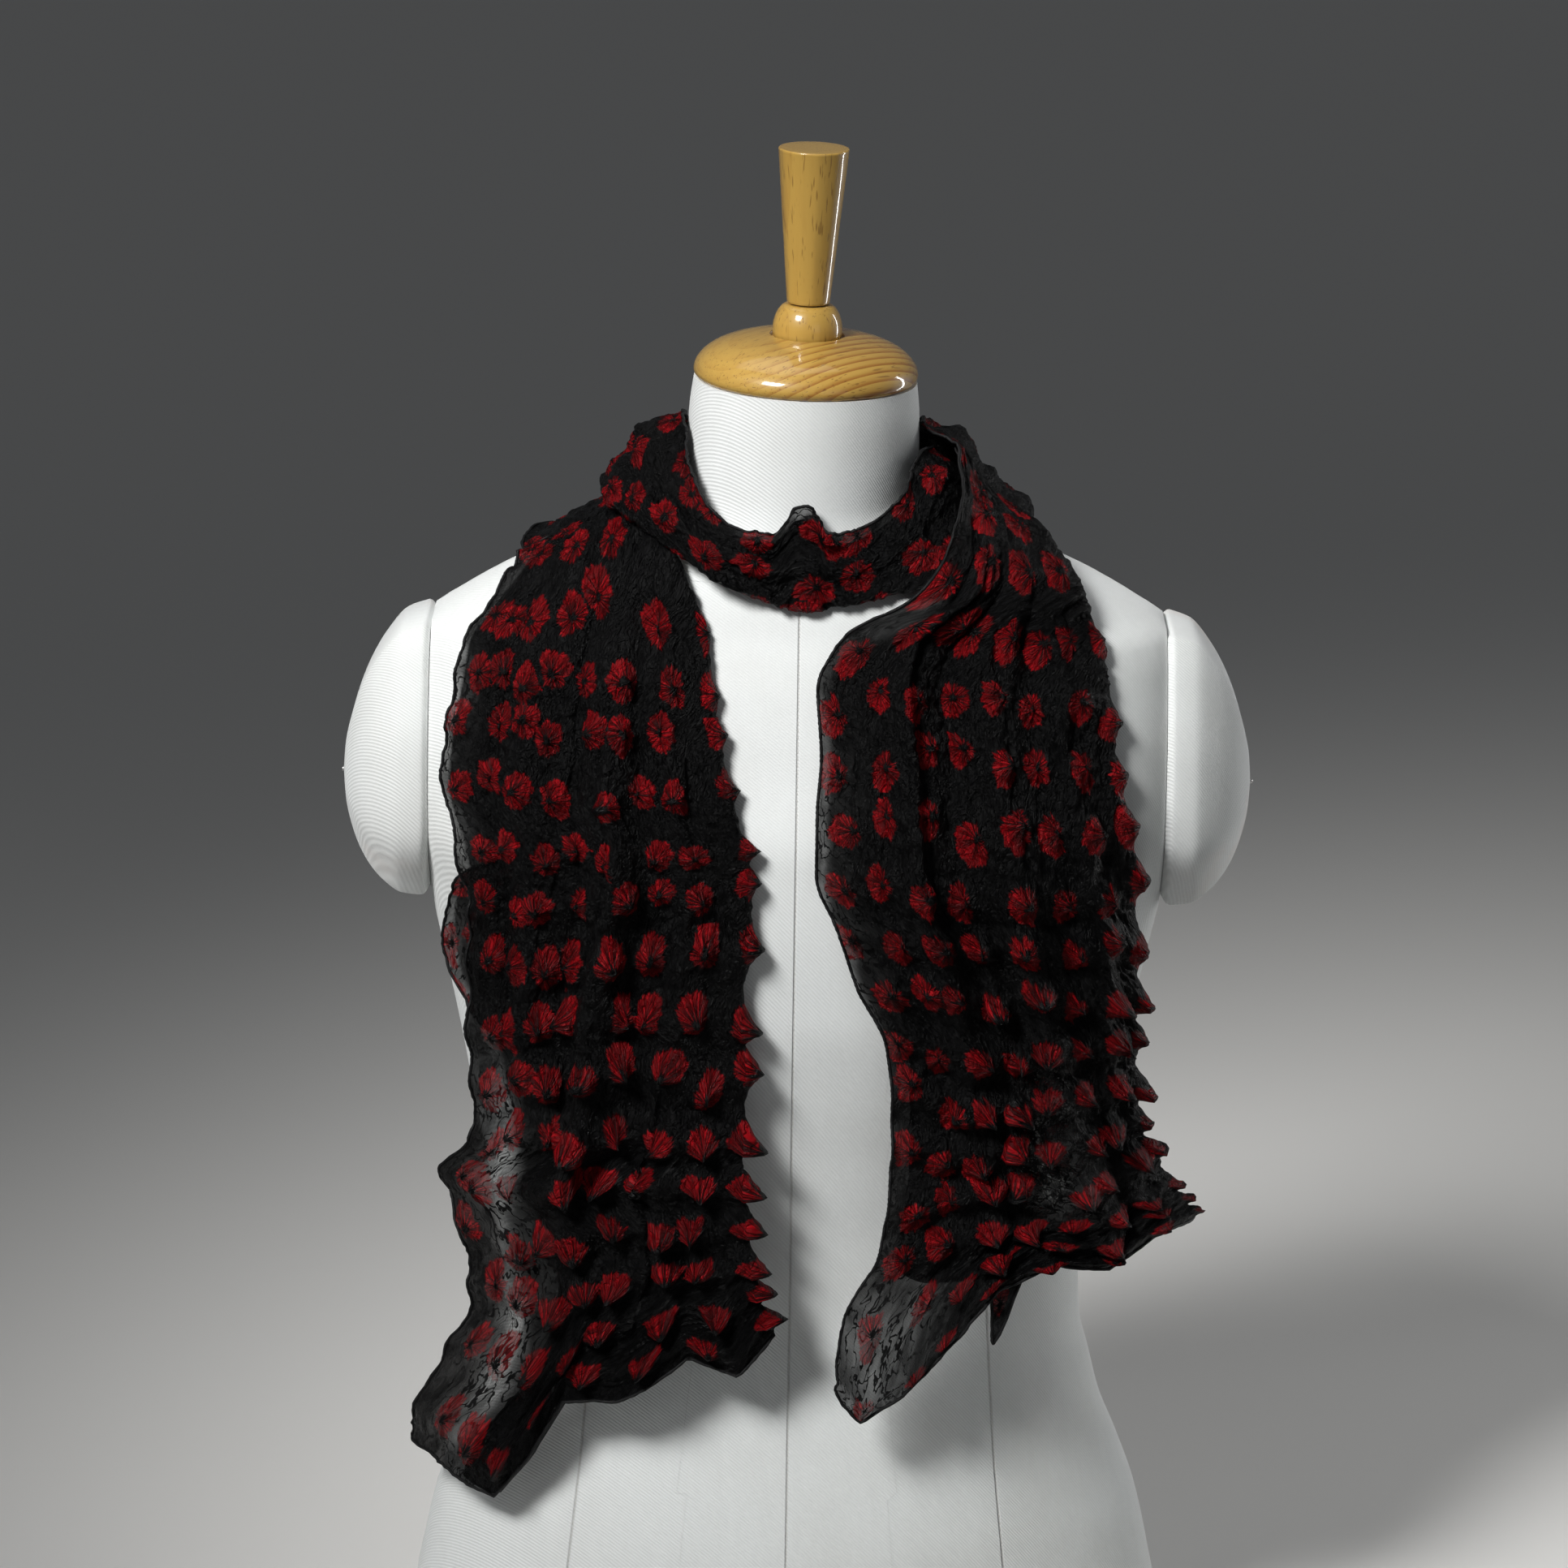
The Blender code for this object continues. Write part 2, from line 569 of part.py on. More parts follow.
def tied_peaks(rows, columns, shape):
    """Raise the tied flowers: a peak where a whole row meets a half column, and on the fold."""
    relief = np.zeros(shape)
    middle_of_fold = len(columns) + len(BEND_TURNS) // 2
    for i, row in enumerate(rows):
        if row % 1 or row < FIRST_PEAK:
            continue
        for j, column in enumerate(columns):
            relief[i, j] = PEAK if column % 1 else 0.0
        relief[i, middle_of_fold] = PEAK if row > FIRST_FOLD_PEAK else 0.0
    return relief


def build_tail(name, table, spread, end_hem, folds, corner, pass_over, silk):
    """One hanging tail: front layer with tied peaks, fold along one edge, plain layer behind."""
    last = table[-1, 0]
    rows = np.append(np.arange(0, math.floor(last) + 0.1, 0.5), last)
    columns = np.arange(0, FLOWER_COLUMNS - 0.1, 0.5)
    behind = np.linspace(0.02, 1, 7)
    grid = tail_grid(table, spread, end_hem, folds, corner, pass_over, rows, columns, behind)
    relief = tied_peaks(rows, columns, grid.shape[:2])
    seam_angle = table[0, 1]
    seams = [(0, seam_angle, -math.copysign(1, seam_angle))]
    return cloth_wall(name, grid, relief, seams, silk)


def build_pass(name, table, step, fold_at_top, peaks, silk):
    """One pass around the neck."""
    start, end = table[0, 0], table[-1, 0]
    angles = np.linspace(start - SEAM_DEGREES, end + SEAM_DEGREES, int(abs(end - start) / step) + 1)
    stations = np.linspace(0, 0.97, 8)
    behind = np.linspace(0.04, 0.85, 4)
    grid = neck_grid(table, angles, stations, behind, fold_at_top)
    relief = np.zeros(grid.shape[:2])
    if peaks:
        for i in range(1, len(angles) - 1):
            for j in (2, 4, 6):
                tied = (i + j // 2) % 2 and angles[i] < BAND_UNCOVERED
                relief[i, j] = BAND_PEAK if tied else 0.0
    return cloth_wall(name, grid, relief, [(0, start, -1), (-1, end, -1)], silk)


def build_form(canvas, wood):
    """The whole dress form."""
    build_torso(canvas)
    build_arm_pad("form_arm_pad_left", -1, canvas)
    build_arm_pad("form_arm_pad_right", 1, canvas)
    lathe("form_neck_cap", CAP_PROFILE, CAP_SIDES, wood)
    lathe("form_bead", BEAD_PROFILE, HANDLE_SIDES, wood)
    lathe("form_handle", HANDLE_PROFILE, HANDLE_SIDES, wood)


def build_stole(silk):
    """The stole, one solid for each stretch."""
    build_tail("stole_left_tail", LEFT_TAIL, LEFT_SPREAD, LEFT_END, LEFT_FOLDS,
               0.0, under_the_wrap, silk)
    build_pass("stole_under_pass", UNDER_PASS, 12, True, False, silk)
    build_pass("stole_front_band", FRONT_BAND, 9, False, True, silk)
    build_pass("stole_over_pass", OVER_PASS, 9, False, True, silk)
    build_tail("stole_right_tail", RIGHT_TAIL, RIGHT_SPREAD, RIGHT_END, RIGHT_FOLDS,
               HANGING_CORNER, over_the_band, silk)


for old in list(bpy.data.objects):
    bpy.data.objects.remove(old, do_unlink=True)

CANVAS = material("off-white cotton canvas", (0.78, 0.77, 0.74), 0.85)
WOOD = material("varnished golden wood", (0.55, 0.30, 0.11), 0.25)
SILK = material("black crinkled silk with crimson ties", (0.05, 0.008, 0.010), 0.6)

build_form(CANVAS, WOOD)
build_stole(SILK)
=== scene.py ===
import math
import bmesh
import bpy
import numpy as np
from mathutils import Matrix, Vector


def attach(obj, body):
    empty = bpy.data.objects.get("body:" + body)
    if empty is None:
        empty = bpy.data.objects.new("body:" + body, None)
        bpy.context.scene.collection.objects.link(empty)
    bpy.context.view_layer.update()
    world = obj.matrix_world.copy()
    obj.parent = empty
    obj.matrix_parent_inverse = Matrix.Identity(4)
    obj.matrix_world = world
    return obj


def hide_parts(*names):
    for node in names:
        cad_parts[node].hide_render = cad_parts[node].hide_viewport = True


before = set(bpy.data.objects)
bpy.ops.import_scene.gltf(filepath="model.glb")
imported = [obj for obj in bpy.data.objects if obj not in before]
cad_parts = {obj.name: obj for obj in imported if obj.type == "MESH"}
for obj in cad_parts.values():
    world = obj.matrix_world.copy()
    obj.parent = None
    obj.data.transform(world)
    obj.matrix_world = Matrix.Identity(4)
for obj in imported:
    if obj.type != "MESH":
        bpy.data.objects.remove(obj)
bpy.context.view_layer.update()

# ---- The studio ------------------------------------------------------------------------------
# A pale floor that runs on past the view, soft light from the upper left and the front,
# and a narrow strip behind on the right that draws a bright line down the varnish.
MM = 0.001
FORM_AXIS = 5.5                     # mm that the form's own axis lies behind the origin
FLOOR_SIZE = 14.0
FLOOR_COLOUR = (0.72, 0.71, 0.69, 1.0)
VIEW_AIM = Vector((-0.0065, FORM_AXIS * MM, 0.470))
VIEW_DISTANCE = 3.0
VIEW_ABOVE = math.radians(16.5)
VIEW_ROLL = math.radians(0.8)
VIEW_LENS = 136.35
AIR_COLOUR = (0.85, 0.88, 0.92, 1.0)
AIR_LIGHT = 0.10

# name, place, aim, width, height, watts, spread in degrees, colour
LAMPS = (
    ("key softbox", (-1.15, -1.45, 2.15), (0.0, 0.0, 0.47), 0.8, 0.8, 3.6, 30, (1.0, 0.998, 0.99)),
    ("front fill", (1.6, -2.8, 1.1), (0.0, 0.0, 0.55), 1.6, 1.6, 0.7, 90, (0.97, 0.985, 1.0)),
    ("rim strip", (1.05, 0.52, 0.62), (0.0, 0.0, 0.62), 0.07, 1.15, 2.1, 120, (1.0, 1.0, 1.0)),
    ("top panel", (-0.3, 0.5, 2.4), (0.0, 0.1, 0.60), 1.4, 1.4, 1.6, 80, (1.0, 1.0, 1.0)),
)


def fill(tree, sockets, values):
    """Join input sockets to outputs, or set them to values, each by its label."""
    for label, value in values.items():
        if hasattr(value, "is_output"):
            tree.links.new(value, sockets[label])
        else:
            sockets[label].default_value = value


def new_material(name, settings):
    """A new material, its tree, and its Principled shader with some sockets set."""
    made = bpy.data.materials.new(name)
    made.use_nodes = True
    shader = made.node_tree.nodes["Principled BSDF"]
    fill(made.node_tree, shader.inputs, settings)
    return made, made.node_tree, shader


def new_object(name, mesh, material):
    """Turn a bmesh into a smooth object of one material."""
    data = bpy.data.meshes.new(name)
    mesh.to_mesh(data)
    mesh.free()
    data.shade_smooth()
    data.materials.append(material)
    made = bpy.data.objects.new(name, data)
    bpy.context.scene.collection.objects.link(made)
    return made


floor_paper = new_material("floor paper", {"Base Color": FLOOR_COLOUR, "Roughness": 0.9})[0]
floor_mesh = bmesh.new()
bmesh.ops.create_grid(floor_mesh, x_segments=2, y_segments=2, size=FLOOR_SIZE / 2)
floor = new_object("floor", floor_mesh, floor_paper)

for lamp_name, place, aim, width, height, watts, spread, colour in LAMPS:
    lamp = bpy.data.lights.new(lamp_name, "AREA")
    lamp.shape = "RECTANGLE"
    lamp.size = width
    lamp.size_y = height
    lamp.energy = watts
    lamp.spread = math.radians(spread)
    lamp.color = colour
    holder = bpy.data.objects.new(lamp_name, lamp)
    holder.location = place
    holder.rotation_euler = (Vector(aim) - Vector(place)).to_track_quat("-Z", "Y").to_euler()
    bpy.context.scene.collection.objects.link(holder)

world = bpy.data.worlds.new("studio air")
world.use_nodes = True
fill(world.node_tree, world.node_tree.nodes["Background"].inputs,
     {"Color": AIR_COLOUR, "Strength": AIR_LIGHT})
bpy.context.scene.world = world
bpy.context.scene.view_settings.view_transform = "Standard"

camera_data = bpy.data.cameras.new("camera")
camera_data.sensor_width = 36.0
camera_data.lens = VIEW_LENS
camera_data.dof.use_dof = False
camera = bpy.data.objects.new("camera", camera_data)
bpy.context.scene.collection.objects.link(camera)
away = Vector((0.0, -math.cos(VIEW_ABOVE), math.sin(VIEW_ABOVE))) * VIEW_DISTANCE
looks = Matrix.Rotation(math.radians(90) - VIEW_ABOVE, 4, "X") @ Matrix.Rotation(VIEW_ROLL, 4, "Z")
camera.matrix_world = Matrix.Translation(VIEW_AIM + away) @ looks
bpy.context.scene.camera = camera


# ---- The torso -------------------------------------------------------------------------------
# A padded torso without limbs, cut off flat at each armhole and at the base, under a tight
# cover of off-white cotton twill that is pieced from panels with a seam down each joint.
TORSO_TOP = 680.0
LEAN = 1.3                          # degrees by which the neck and the wood lean towards +X
LEAN_FROM = 620.0                   # height where that lean begins
ARMHOLE_HALF_WIDTH = 183.0
ARMHOLE_LOW = 424.0
ARMHOLE_HIGH = 555.0
ARMHOLE_EDGE_DEPTH = 16.0
TORSO_STEP = 4.0                    # mm between the rings of the cover's mesh
TORSO_FACE_STEPS = 72
TORSO_SIDE_STEPS = 16
SEAM_FOOT = 2.0                     # height where each seam's stitches begin
FRONT_SEAM_TOP = 596
BACK_SEAM_TOP = 640
STITCH_PITCH = 3.3
SEAM_WELD = 0.00002                 # m within which a closed piece's own edges are joined
COVER_EDGE = math.radians(38)       # bends sharper than this are edges
NO_SEAM = 99.0                      # mm, where no seam is near

# height, half width, depth in front, depth behind, squareness of the section
TORSO_SECTIONS = np.array((
    (0, 188, 105, 116, 2.2),
    (10, 194, 111, 122, 2.2),
    (30, 194, 112, 123, 2.2),
    (60, 189, 111, 122, 2.2),
    (90, 182, 108, 119, 2.2),
    (115, 173, 104, 114, 2.2),
    (142, 162, 99, 107, 2.2),
    (165, 156, 95, 101, 2.2),
    (190, 150, 90, 94, 2.2),
    (215, 149, 87, 88, 2.2),
    (250, 153, 88, 85, 2.2),
    (294, 161, 94, 85, 2.2),
    (340, 169, 103, 88, 2.25),
    (380, 177, 110, 92, 2.3),
    (430, 188, 113, 98, 2.4),
    (460, 196, 112, 100, 2.5),
    (500, 199, 101, 99, 2.5),
    (540, 193, 89, 95, 2.4),
    (556, 187, 82, 90, 2.35),
    (566, 173, 77, 86, 2.3),
    (577, 155, 73, 81, 2.25),
    (588, 133, 69, 76, 2.15),
    (598, 106, 65, 71, 2.1),
    (607, 80, 62, 67, 2.05),
    (615, 64, 60, 64, 2.0),
    (625, 58.5, 58.5, 61, 2.0),
    (645, 57.8, 57.5, 59, 2.0),
    (665, 57, 56.5, 58, 2.0),
    (TORSO_TOP, 55.3, 55, 56.5, 2.0),
), float)

# seams in front and behind: height, distance from the middle of the chest or back
PRINCESS_FRONT = np.array((
    (0, 118), (70, 112), (150, 104), (215, 100), (300, 97), (380, 97), (440, 108), (490, 136),
), float)
PRINCESS_BACK = np.array((
    (0, 104), (100, 92), (215, 76), (330, 84), (430, 100), (500, 134), (540, 172),
), float)


def curve(at, known, values):
    """Read a table column smoothly, with no overshoot between its rows."""
    at = np.clip(np.asarray(at, float), known[0], known[-1])
    steps = np.diff(known)
    slopes = np.diff(values) / steps
    tangents = np.zeros(len(values))
    tangents[0] = slopes[0]
    tangents[-1] = slopes[-1]
    before, after = slopes[:-1], slopes[1:]
    same_way = before * after > 0
    tangents[1:-1][same_way] = (2 * before * after)[same_way] / (before + after)[same_way]
    k = np.clip(np.searchsorted(known, at, side="right") - 1, 0, len(steps) - 1)
    t = (at - known[k]) / steps[k]
    t2, t3 = t * t, t * t * t
    return ((2 * t3 - 3 * t2 + 1) * values[k] + (t3 - 2 * t2 + t) * steps[k] * tangents[k]
            + (3 * t2 - 2 * t3) * values[k + 1] + (t3 - t2) * steps[k] * tangents[k + 1])


def columns_at(table, at, keys=None):
    """Every column of a table after its first, read at the given places."""
    known = table[:, 0] if keys is None else keys
    return [curve(at, known, table[:, k]) for k in range(1, table.shape[1])]


def section_radius(angle, width, front, back, squareness):
    """Distance from the middle to a section's outline, towards an angle in degrees."""
    turn = np.radians(angle)
    depth = np.where(np.cos(turn) > 0, front, back)
    across = (np.abs(np.sin(turn)) / width) ** squareness
    along = (np.abs(np.cos(turn)) / depth) ** squareness
    return (across + along) ** (-1 / squareness)


def polar(angle, radius, height):
    """Points in millimetres; angle 0 is the chest, 90 is +X and 180 is the back."""
    turn = np.radians(angle)
    return np.stack((radius * np.sin(turn), -radius * np.cos(turn), height + 0 * turn), -1)


def armhole_depths(height):
    """Depth of the armhole's flat face in front and behind, at each height."""
    width, front, back, squareness = columns_at(TORSO_SECTIONS, height)
    part = np.clip(1 - (ARMHOLE_HALF_WIDTH / width) ** squareness, 0, 1) ** (1 / squareness)
    return front * part, back * part


def ring_angles(height):
    """Angles of one ring of the torso, with a corner at each edge of both armholes."""
    front, back = armhole_depths(height)
    front_corner = math.degrees(math.atan2(ARMHOLE_HALF_WIDTH, max(front, ARMHOLE_EDGE_DEPTH)))
    back_corner = 180 - math.degrees(math.atan2(ARMHOLE_HALF_WIDTH, max(back, ARMHOLE_EDGE_DEPTH)))
    corners = (-front_corner, front_corner, back_corner, 360 - back_corner, 360 - front_corner)
    steps = (TORSO_FACE_STEPS, TORSO_SIDE_STEPS, TORSO_FACE_STEPS, TORSO_SIDE_STEPS)
    spans = [np.linspace(a, b, n, endpoint=False) for a, b, n in zip(corners, corners[1:], steps)]
    return np.concatenate(spans)


def leaned_over(points):
    """Points with what stands above the root of the neck leaning over towards +X."""
    tilt = math.radians(LEAN)
    up = np.maximum(points[..., 2] - LEAN_FROM, 0)
    along = np.where(up > 0, points[..., 0], 0)
    moved = points.copy()
    moved[..., 0] += up * math.sin(tilt) + along * (math.cos(tilt) - 1)
    moved[..., 2] += up * (math.cos(tilt) - 1) - along * math.sin(tilt)
    return moved


def in_place(points):
    """Points in metres where they stand, from millimetres about the form's own axis."""
    return (points + (0, FORM_AXIS, 0)) * MM


def new_piece(name, mesh, material, node=None):
    """Turn a bmesh into a piece of the part, in the place of a CAD node if one is named."""
    piece = new_object(name, mesh, material)
    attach(piece, "root")
    if node:
        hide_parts(node)
    return piece


def laid_out(name, points, material, node, closed):
    """Make a piece from a grid sheet whose points are moved to their places.

    A closed piece joins its last column to its first and fills both ends. An open one is
    a sheet of cloth, turned face side out."""
    rows, columns = points.shape[:2]
    made = bmesh.new()
    bmesh.ops.create_grid(made, x_segments=columns - 1, y_segments=rows - 1, size=1)
    for point, place in zip(made.verts, in_place(points.reshape(-1, 3)).tolist()):
        point.co = place
    if closed:
        bmesh.ops.remove_doubles(made, verts=made.verts, dist=SEAM_WELD)
        rims = [edge for edge in made.edges if edge.is_boundary]
        bmesh.ops.holes_fill(made, edges=rims)
        bmesh.ops.recalc_face_normals(made, faces=made.faces)
    else:
        bmesh.ops.reverse_faces(made, faces=made.faces)
    return new_piece(name, made, material, node)


def keep_values(data, name, kind, domain, values):
    """Keep a number or a vector for each point or face of a mesh."""
    label = "vector" if kind == "FLOAT_VECTOR" else "value"
    data.attributes.new(name, kind, domain).data.foreach_set(label, np.ravel(values))


def torso_point(x, height, behind=False):
    """The point of the torso's surface at a distance from the middle and a height."""
    width, front, back, squareness = columns_at(TORSO_SECTIONS, height)
    depth = back if behind else -front
    y = depth * np.clip(1 - (np.abs(x) / width) ** squareness, 0, 1) ** (1 / squareness)
    return np.stack((x + 0 * y, y, height + 0 * y), -1)


def torso_seams():
    """Each seam of the cover as a run of points up the torso."""
    up_front = np.arange(SEAM_FOOT, FRONT_SEAM_TOP, STITCH_PITCH)
    up_back = np.arange(SEAM_FOOT, BACK_SEAM_TOP, STITCH_PITCH)
    seams = [torso_point(0 * up_front, up_front), torso_point(0 * up_back, up_back, behind=True)]
    for table, behind in ((PRINCESS_FRONT, False), (PRINCESS_BACK, True)):
        up = np.arange(SEAM_FOOT, table[-1, 0], STITCH_PITCH)
        reach = curve(up, table[:, 0], table[:, 1])
        seams += [torso_point(side * reach, up, behind) for side in (-1, 1)]
    return seams


# the twill: a fine diagonal rib, faint yarn slubs, and slight yellowed spots on the pads
TWILL_PALE = (0.79, 0.81, 0.805, 1.0)
TWILL_DULL = (0.715, 0.725, 0.71, 1.0)
TWILL_STAIN = (0.78, 0.66, 0.60, 1.0)
# painted shade that darkens the cover in each seam's groove
TWILL_SEAM_SHADE = (0.36, 0.35, 0.33, 1.0)


def shader_node(tree, kind, inputs, **settings):
    """A new shader node with its settings set and its inputs joined or set."""
    node = tree.nodes.new("ShaderNode" + kind)
    for label, value in settings.items():
        setattr(node, label, value)
    fill(tree, node.inputs, inputs)
    return node


def math_node(tree, operation, *values):
    """A Math node's output."""
    return shader_node(tree, "Math", dict(enumerate(values)), operation=operation).outputs[0]


def times(tree, value, factor):
    """One value times another."""
    return math_node(tree, "MULTIPLY", value, factor)


def times_plus(tree, value, factor, more):
    """One value times another, and a third added to that."""
    return math_node(tree, "MULTIPLY_ADD", value, factor, more)


def vector_math(tree, operation, *values):
    """A Vector Math node's outputs."""
    return shader_node(tree, "VectorMath", dict(enumerate(values)), operation=operation).outputs


def mix_colour(tree, factor, first, second, blend="MIX"):
    """The mix of two colours."""
    inputs = {0: factor, 6: first, 7: second}
    return shader_node(tree, "Mix", inputs, data_type="RGBA", blend_type=blend).outputs[2]


def stretched(tree, vector, scale, turn=(0, 0, 0), place=(0, 0, 0)):
    """A vector scaled, turned and moved, in that order."""
    inputs = {"Vector": vector, "Scale": scale, "Rotation": turn, "Location": place}
    return shader_node(tree, "Mapping", inputs).outputs[0]


def noise(tree, vector, scale, detail=3.0, roughness=0.5):
    """A noise texture's value, from 0 to 1."""
    inputs = {"Vector": vector, "Scale": scale, "Detail": detail, "Roughness": roughness}
    return shader_node(tree, "TexNoise", inputs).outputs[0]


def between(tree, value, low, high):
    """A value turned into a soft step from 0 at low to 1 at high."""
    inputs = {"Value": value, "From Min": low, "From Max": high}
    return shader_node(tree, "MapRange", inputs, interpolation_type="SMOOTHSTEP").outputs[0]


def bump(tree, height, distance):
    """The normal of a surface raised by height times distance, in metres."""
    inputs = {"Strength": 1.0, "Distance": distance, "Height": height}
    return shader_node(tree, "Bump", inputs).outputs[0]


def attribute(tree, name, output):
    """One output of a node that reads an attribute of the mesh."""
    return shader_node(tree, "Attribute", {}, attribute_name=name).outputs[output]


def object_place(tree):
    """The place on a piece, in metres."""
    return shader_node(tree, "TexCoord", {}).outputs["Object"]


def effect(name, takes, gives):
    """An empty shader node group with named sockets: its tree, its inputs and its outputs."""
    group = bpy.data.node_groups.new(name, "ShaderNodeTree")
    for label, kind in takes:
        group.interface.new_socket(label, in_out="INPUT", socket_type="NodeSocket" + kind)
    for label, kind in gives:
        group.interface.new_socket(label, in_out="OUTPUT", socket_type="NodeSocket" + kind)
    outputs = group.nodes.new("NodeGroupInput").outputs
    return group, outputs, group.nodes.new("NodeGroupOutput").inputs


def placed(tree, group, inputs):
    """An effect's outputs, once it is placed with the given inputs."""
    return shader_node(tree, "Group", inputs, node_tree=group).outputs


weave_effect, given, wanted = effect("twill weave", (("Place", "Vector"),),
                                     (("Colour", "Color"), ("Height", "Float")))
tree = weave_effect
ribs = shader_node(tree, "TexWave", {
    "Vector": given["Place"],
    "Scale": 300.0,
    "Distortion": 0.5,
    "Detail": 1.0,
    "Detail Scale": 3.0,
}, bands_direction="DIAGONAL")
yarn = noise(tree, stretched(tree, given["Place"], (1.0, 1.0, 3.0)), 420.0, 2.0)
slubs = noise(tree, stretched(tree, given["Place"], (1.0, 1.0, 0.12)), 190.0, 2.0)
patches = noise(tree, given["Place"], 7.0, 4.0, 0.55)
dulled = between(tree, patches, 0.35, 0.75)
ground = mix_colour(tree, dulled, TWILL_PALE, TWILL_DULL)
weave = times_plus(tree, ribs.outputs["Fac"], 0.6, times(tree, yarn, 0.4))
shade = times_plus(tree, slubs, 0.05, 0.86)
shade = times_plus(tree, weave, 0.14, shade)
fill(tree, wanted, {
    "Colour": mix_colour(tree, 1.0, ground, shade, "MULTIPLY"),
    "Height": weave,
})


def twill(name, seamed):
    """Cotton twill. A seamed piece sinks along its seams, read from an attribute, and gets painted
    shade in that groove.
    """
    made, tree, shader = new_material(name, {
        "Roughness": 0.86,
        "Sheen Weight": 0.12,
        "Sheen Roughness": 0.5,
        "Specular IOR Level": 0.25,
    })
    place = object_place(tree)
    weave = placed(tree, weave_effect, {"Place": place})
    colour, height = weave["Colour"], weave["Height"]
    if seamed:
        off = math_node(tree, "ABSOLUTE", attribute(tree, "from_seam", "Fac"))
        groove_and_shade = math_node(tree, "SUBTRACT", 1.0, between(tree, off, 0.1, 0.9))
        # painted shade: the seam's groove is darkened as well as sunk
        colour = mix_colour(tree, times(tree, groove_and_shade, 0.40), colour, TWILL_SEAM_SHADE)
        height = math_node(tree, "SUBTRACT", height, times(tree, groove_and_shade, 2.2))
    else:
        blush = noise(tree, place, 16.0, 3.0)
        spot = times(tree, between(tree, blush, 0.56, 0.74), 0.35)
        colour = mix_colour(tree, spot, colour, TWILL_STAIN)
    fill(tree, shader.inputs, {"Base Color": colour, "Normal": bump(tree, height, 0.00022)})
    return made


twill_cover = twill("cotton twill cover", seamed=True)
torso_heights = np.unique(np.concatenate((
    np.array((0.0, 1.2, 3.0, 6.0, 10.0)),
    np.arange(14.0, TORSO_TOP, TORSO_STEP),
    np.array((ARMHOLE_LOW, ARMHOLE_HIGH, TORSO_TOP)),
)))
torso_rings = []
for ring_height in torso_heights:
    angles = ring_angles(ring_height)
    angles = np.append(angles, angles[0] + 360)
    outline = section_radius(angles, *columns_at(TORSO_SECTIONS, ring_height))
    ring = polar(angles, outline, ring_height)
    if ring_height > ARMHOLE_LOW - 20:
        ring[:, 0] = np.clip(ring[:, 0], -ARMHOLE_HALF_WIDTH, ARMHOLE_HALF_WIDTH)
    ring[-1] = ring[0]
    torso_rings.append(leaned_over(ring))
torso = laid_out("torso_cover", np.array(torso_rings), twill_cover, "form_torso",
                 closed=True)
torso.data.set_sharp_from_angle(angle=COVER_EDGE)
seam_runs = torso_seams()
skin = np.zeros(len(torso.data.vertices) * 3)
torso.data.vertices.foreach_get("co", skin)
skin = skin.reshape(-1, 3) / MM - (0, FORM_AXIS, 0)
from_seam = np.full(len(skin), NO_SEAM)
for run in seam_runs:
    sideways = skin[:, 0] - np.interp(skin[:, 2], run[:, 2], run[:, 0])
    same_side = skin[:, 1] * run[0, 1] > 0
    reached = (skin[:, 2] <= run[-1, 2]) & same_side
    nearer = reached & (np.abs(sideways) < np.abs(from_seam))
    from_seam[nearer] = sideways[nearer]
keep_values(torso.data, "from_seam", "FLOAT", "POINT", from_seam)

# stitches: short turns of cotton thread that stand out a little along each seam
STITCH_LENGTH = 2.1
STITCH_RADIUS = 0.17
THREAD_SHADE = (0.46, 0.45, 0.42, 1.0)
THREAD_LIGHT = (0.62, 0.61, 0.58, 1.0)

thread_effect, given, wanted = effect(
    "thread twist", (("Place", "Vector"), ("Scale", "Float"), ("Detail", "Float")),
    (("Twist", "Float"),))
fill(thread_effect, wanted,
     {"Twist": noise(thread_effect, given["Place"], given["Scale"], given["Detail"])})

cotton_thread, tree, shader = new_material("cotton thread", {"Roughness": 0.8})
twist = placed(tree, thread_effect, {"Place": object_place(tree), "Scale": 2600.0, "Detail": 1.0})
fill(tree, shader.inputs,
     {"Base Color": mix_colour(tree, twist["Twist"], THREAD_SHADE, THREAD_LIGHT)})

stitch_mesh = bmesh.new()
size = Matrix.Diagonal((STITCH_RADIUS * MM, STITCH_RADIUS * MM, STITCH_LENGTH * MM / 2, 1.0))
for run in seam_runs:
    for here, after in zip(run[:-1], run[1:]):
        middle = Vector((here + after) / 2 + (0, FORM_AXIS, 0)) * MM
        lie = Vector(after - here).to_track_quat("Z", "Y").to_matrix().to_4x4()
        bmesh.ops.create_icosphere(stitch_mesh, subdivisions=1, radius=1.0,
                                   matrix=Matrix.Translation(middle) @ lie @ size)
new_piece("seam_stitches", stitch_mesh, cotton_thread)


# ---- The shoulder pads -----------------------------------------------------------------------
# Two domed pads of the same twill, stuffed hard and set flat against the armholes. Each
# is held by a pin through its middle, of which only the bright head shows.
PAD_GAP = 0.3
PAD_OUTLINE_STEPS = 36
PAD_RING_STEPS = 48
# outward distance from the armhole, size of the ring against the armhole's outline, drop
PAD_RINGS = np.array((
    (0.0, 1.00, 0.0),
    (4.0, 1.05, -1.5),
    (14.0, 1.02, -3.0),
    (25.0, 0.88, -6.0),
    (34.0, 0.68, -9.0),
    (40.0, 0.46, -11.5),
    (44.0, 0.22, -13.5),
    (45.5, 0.0, -14.5),
), float)
PIN_HEAD = 1.1
PIN_OUT = 0.2                       # how far the middle of the pin's head stands out

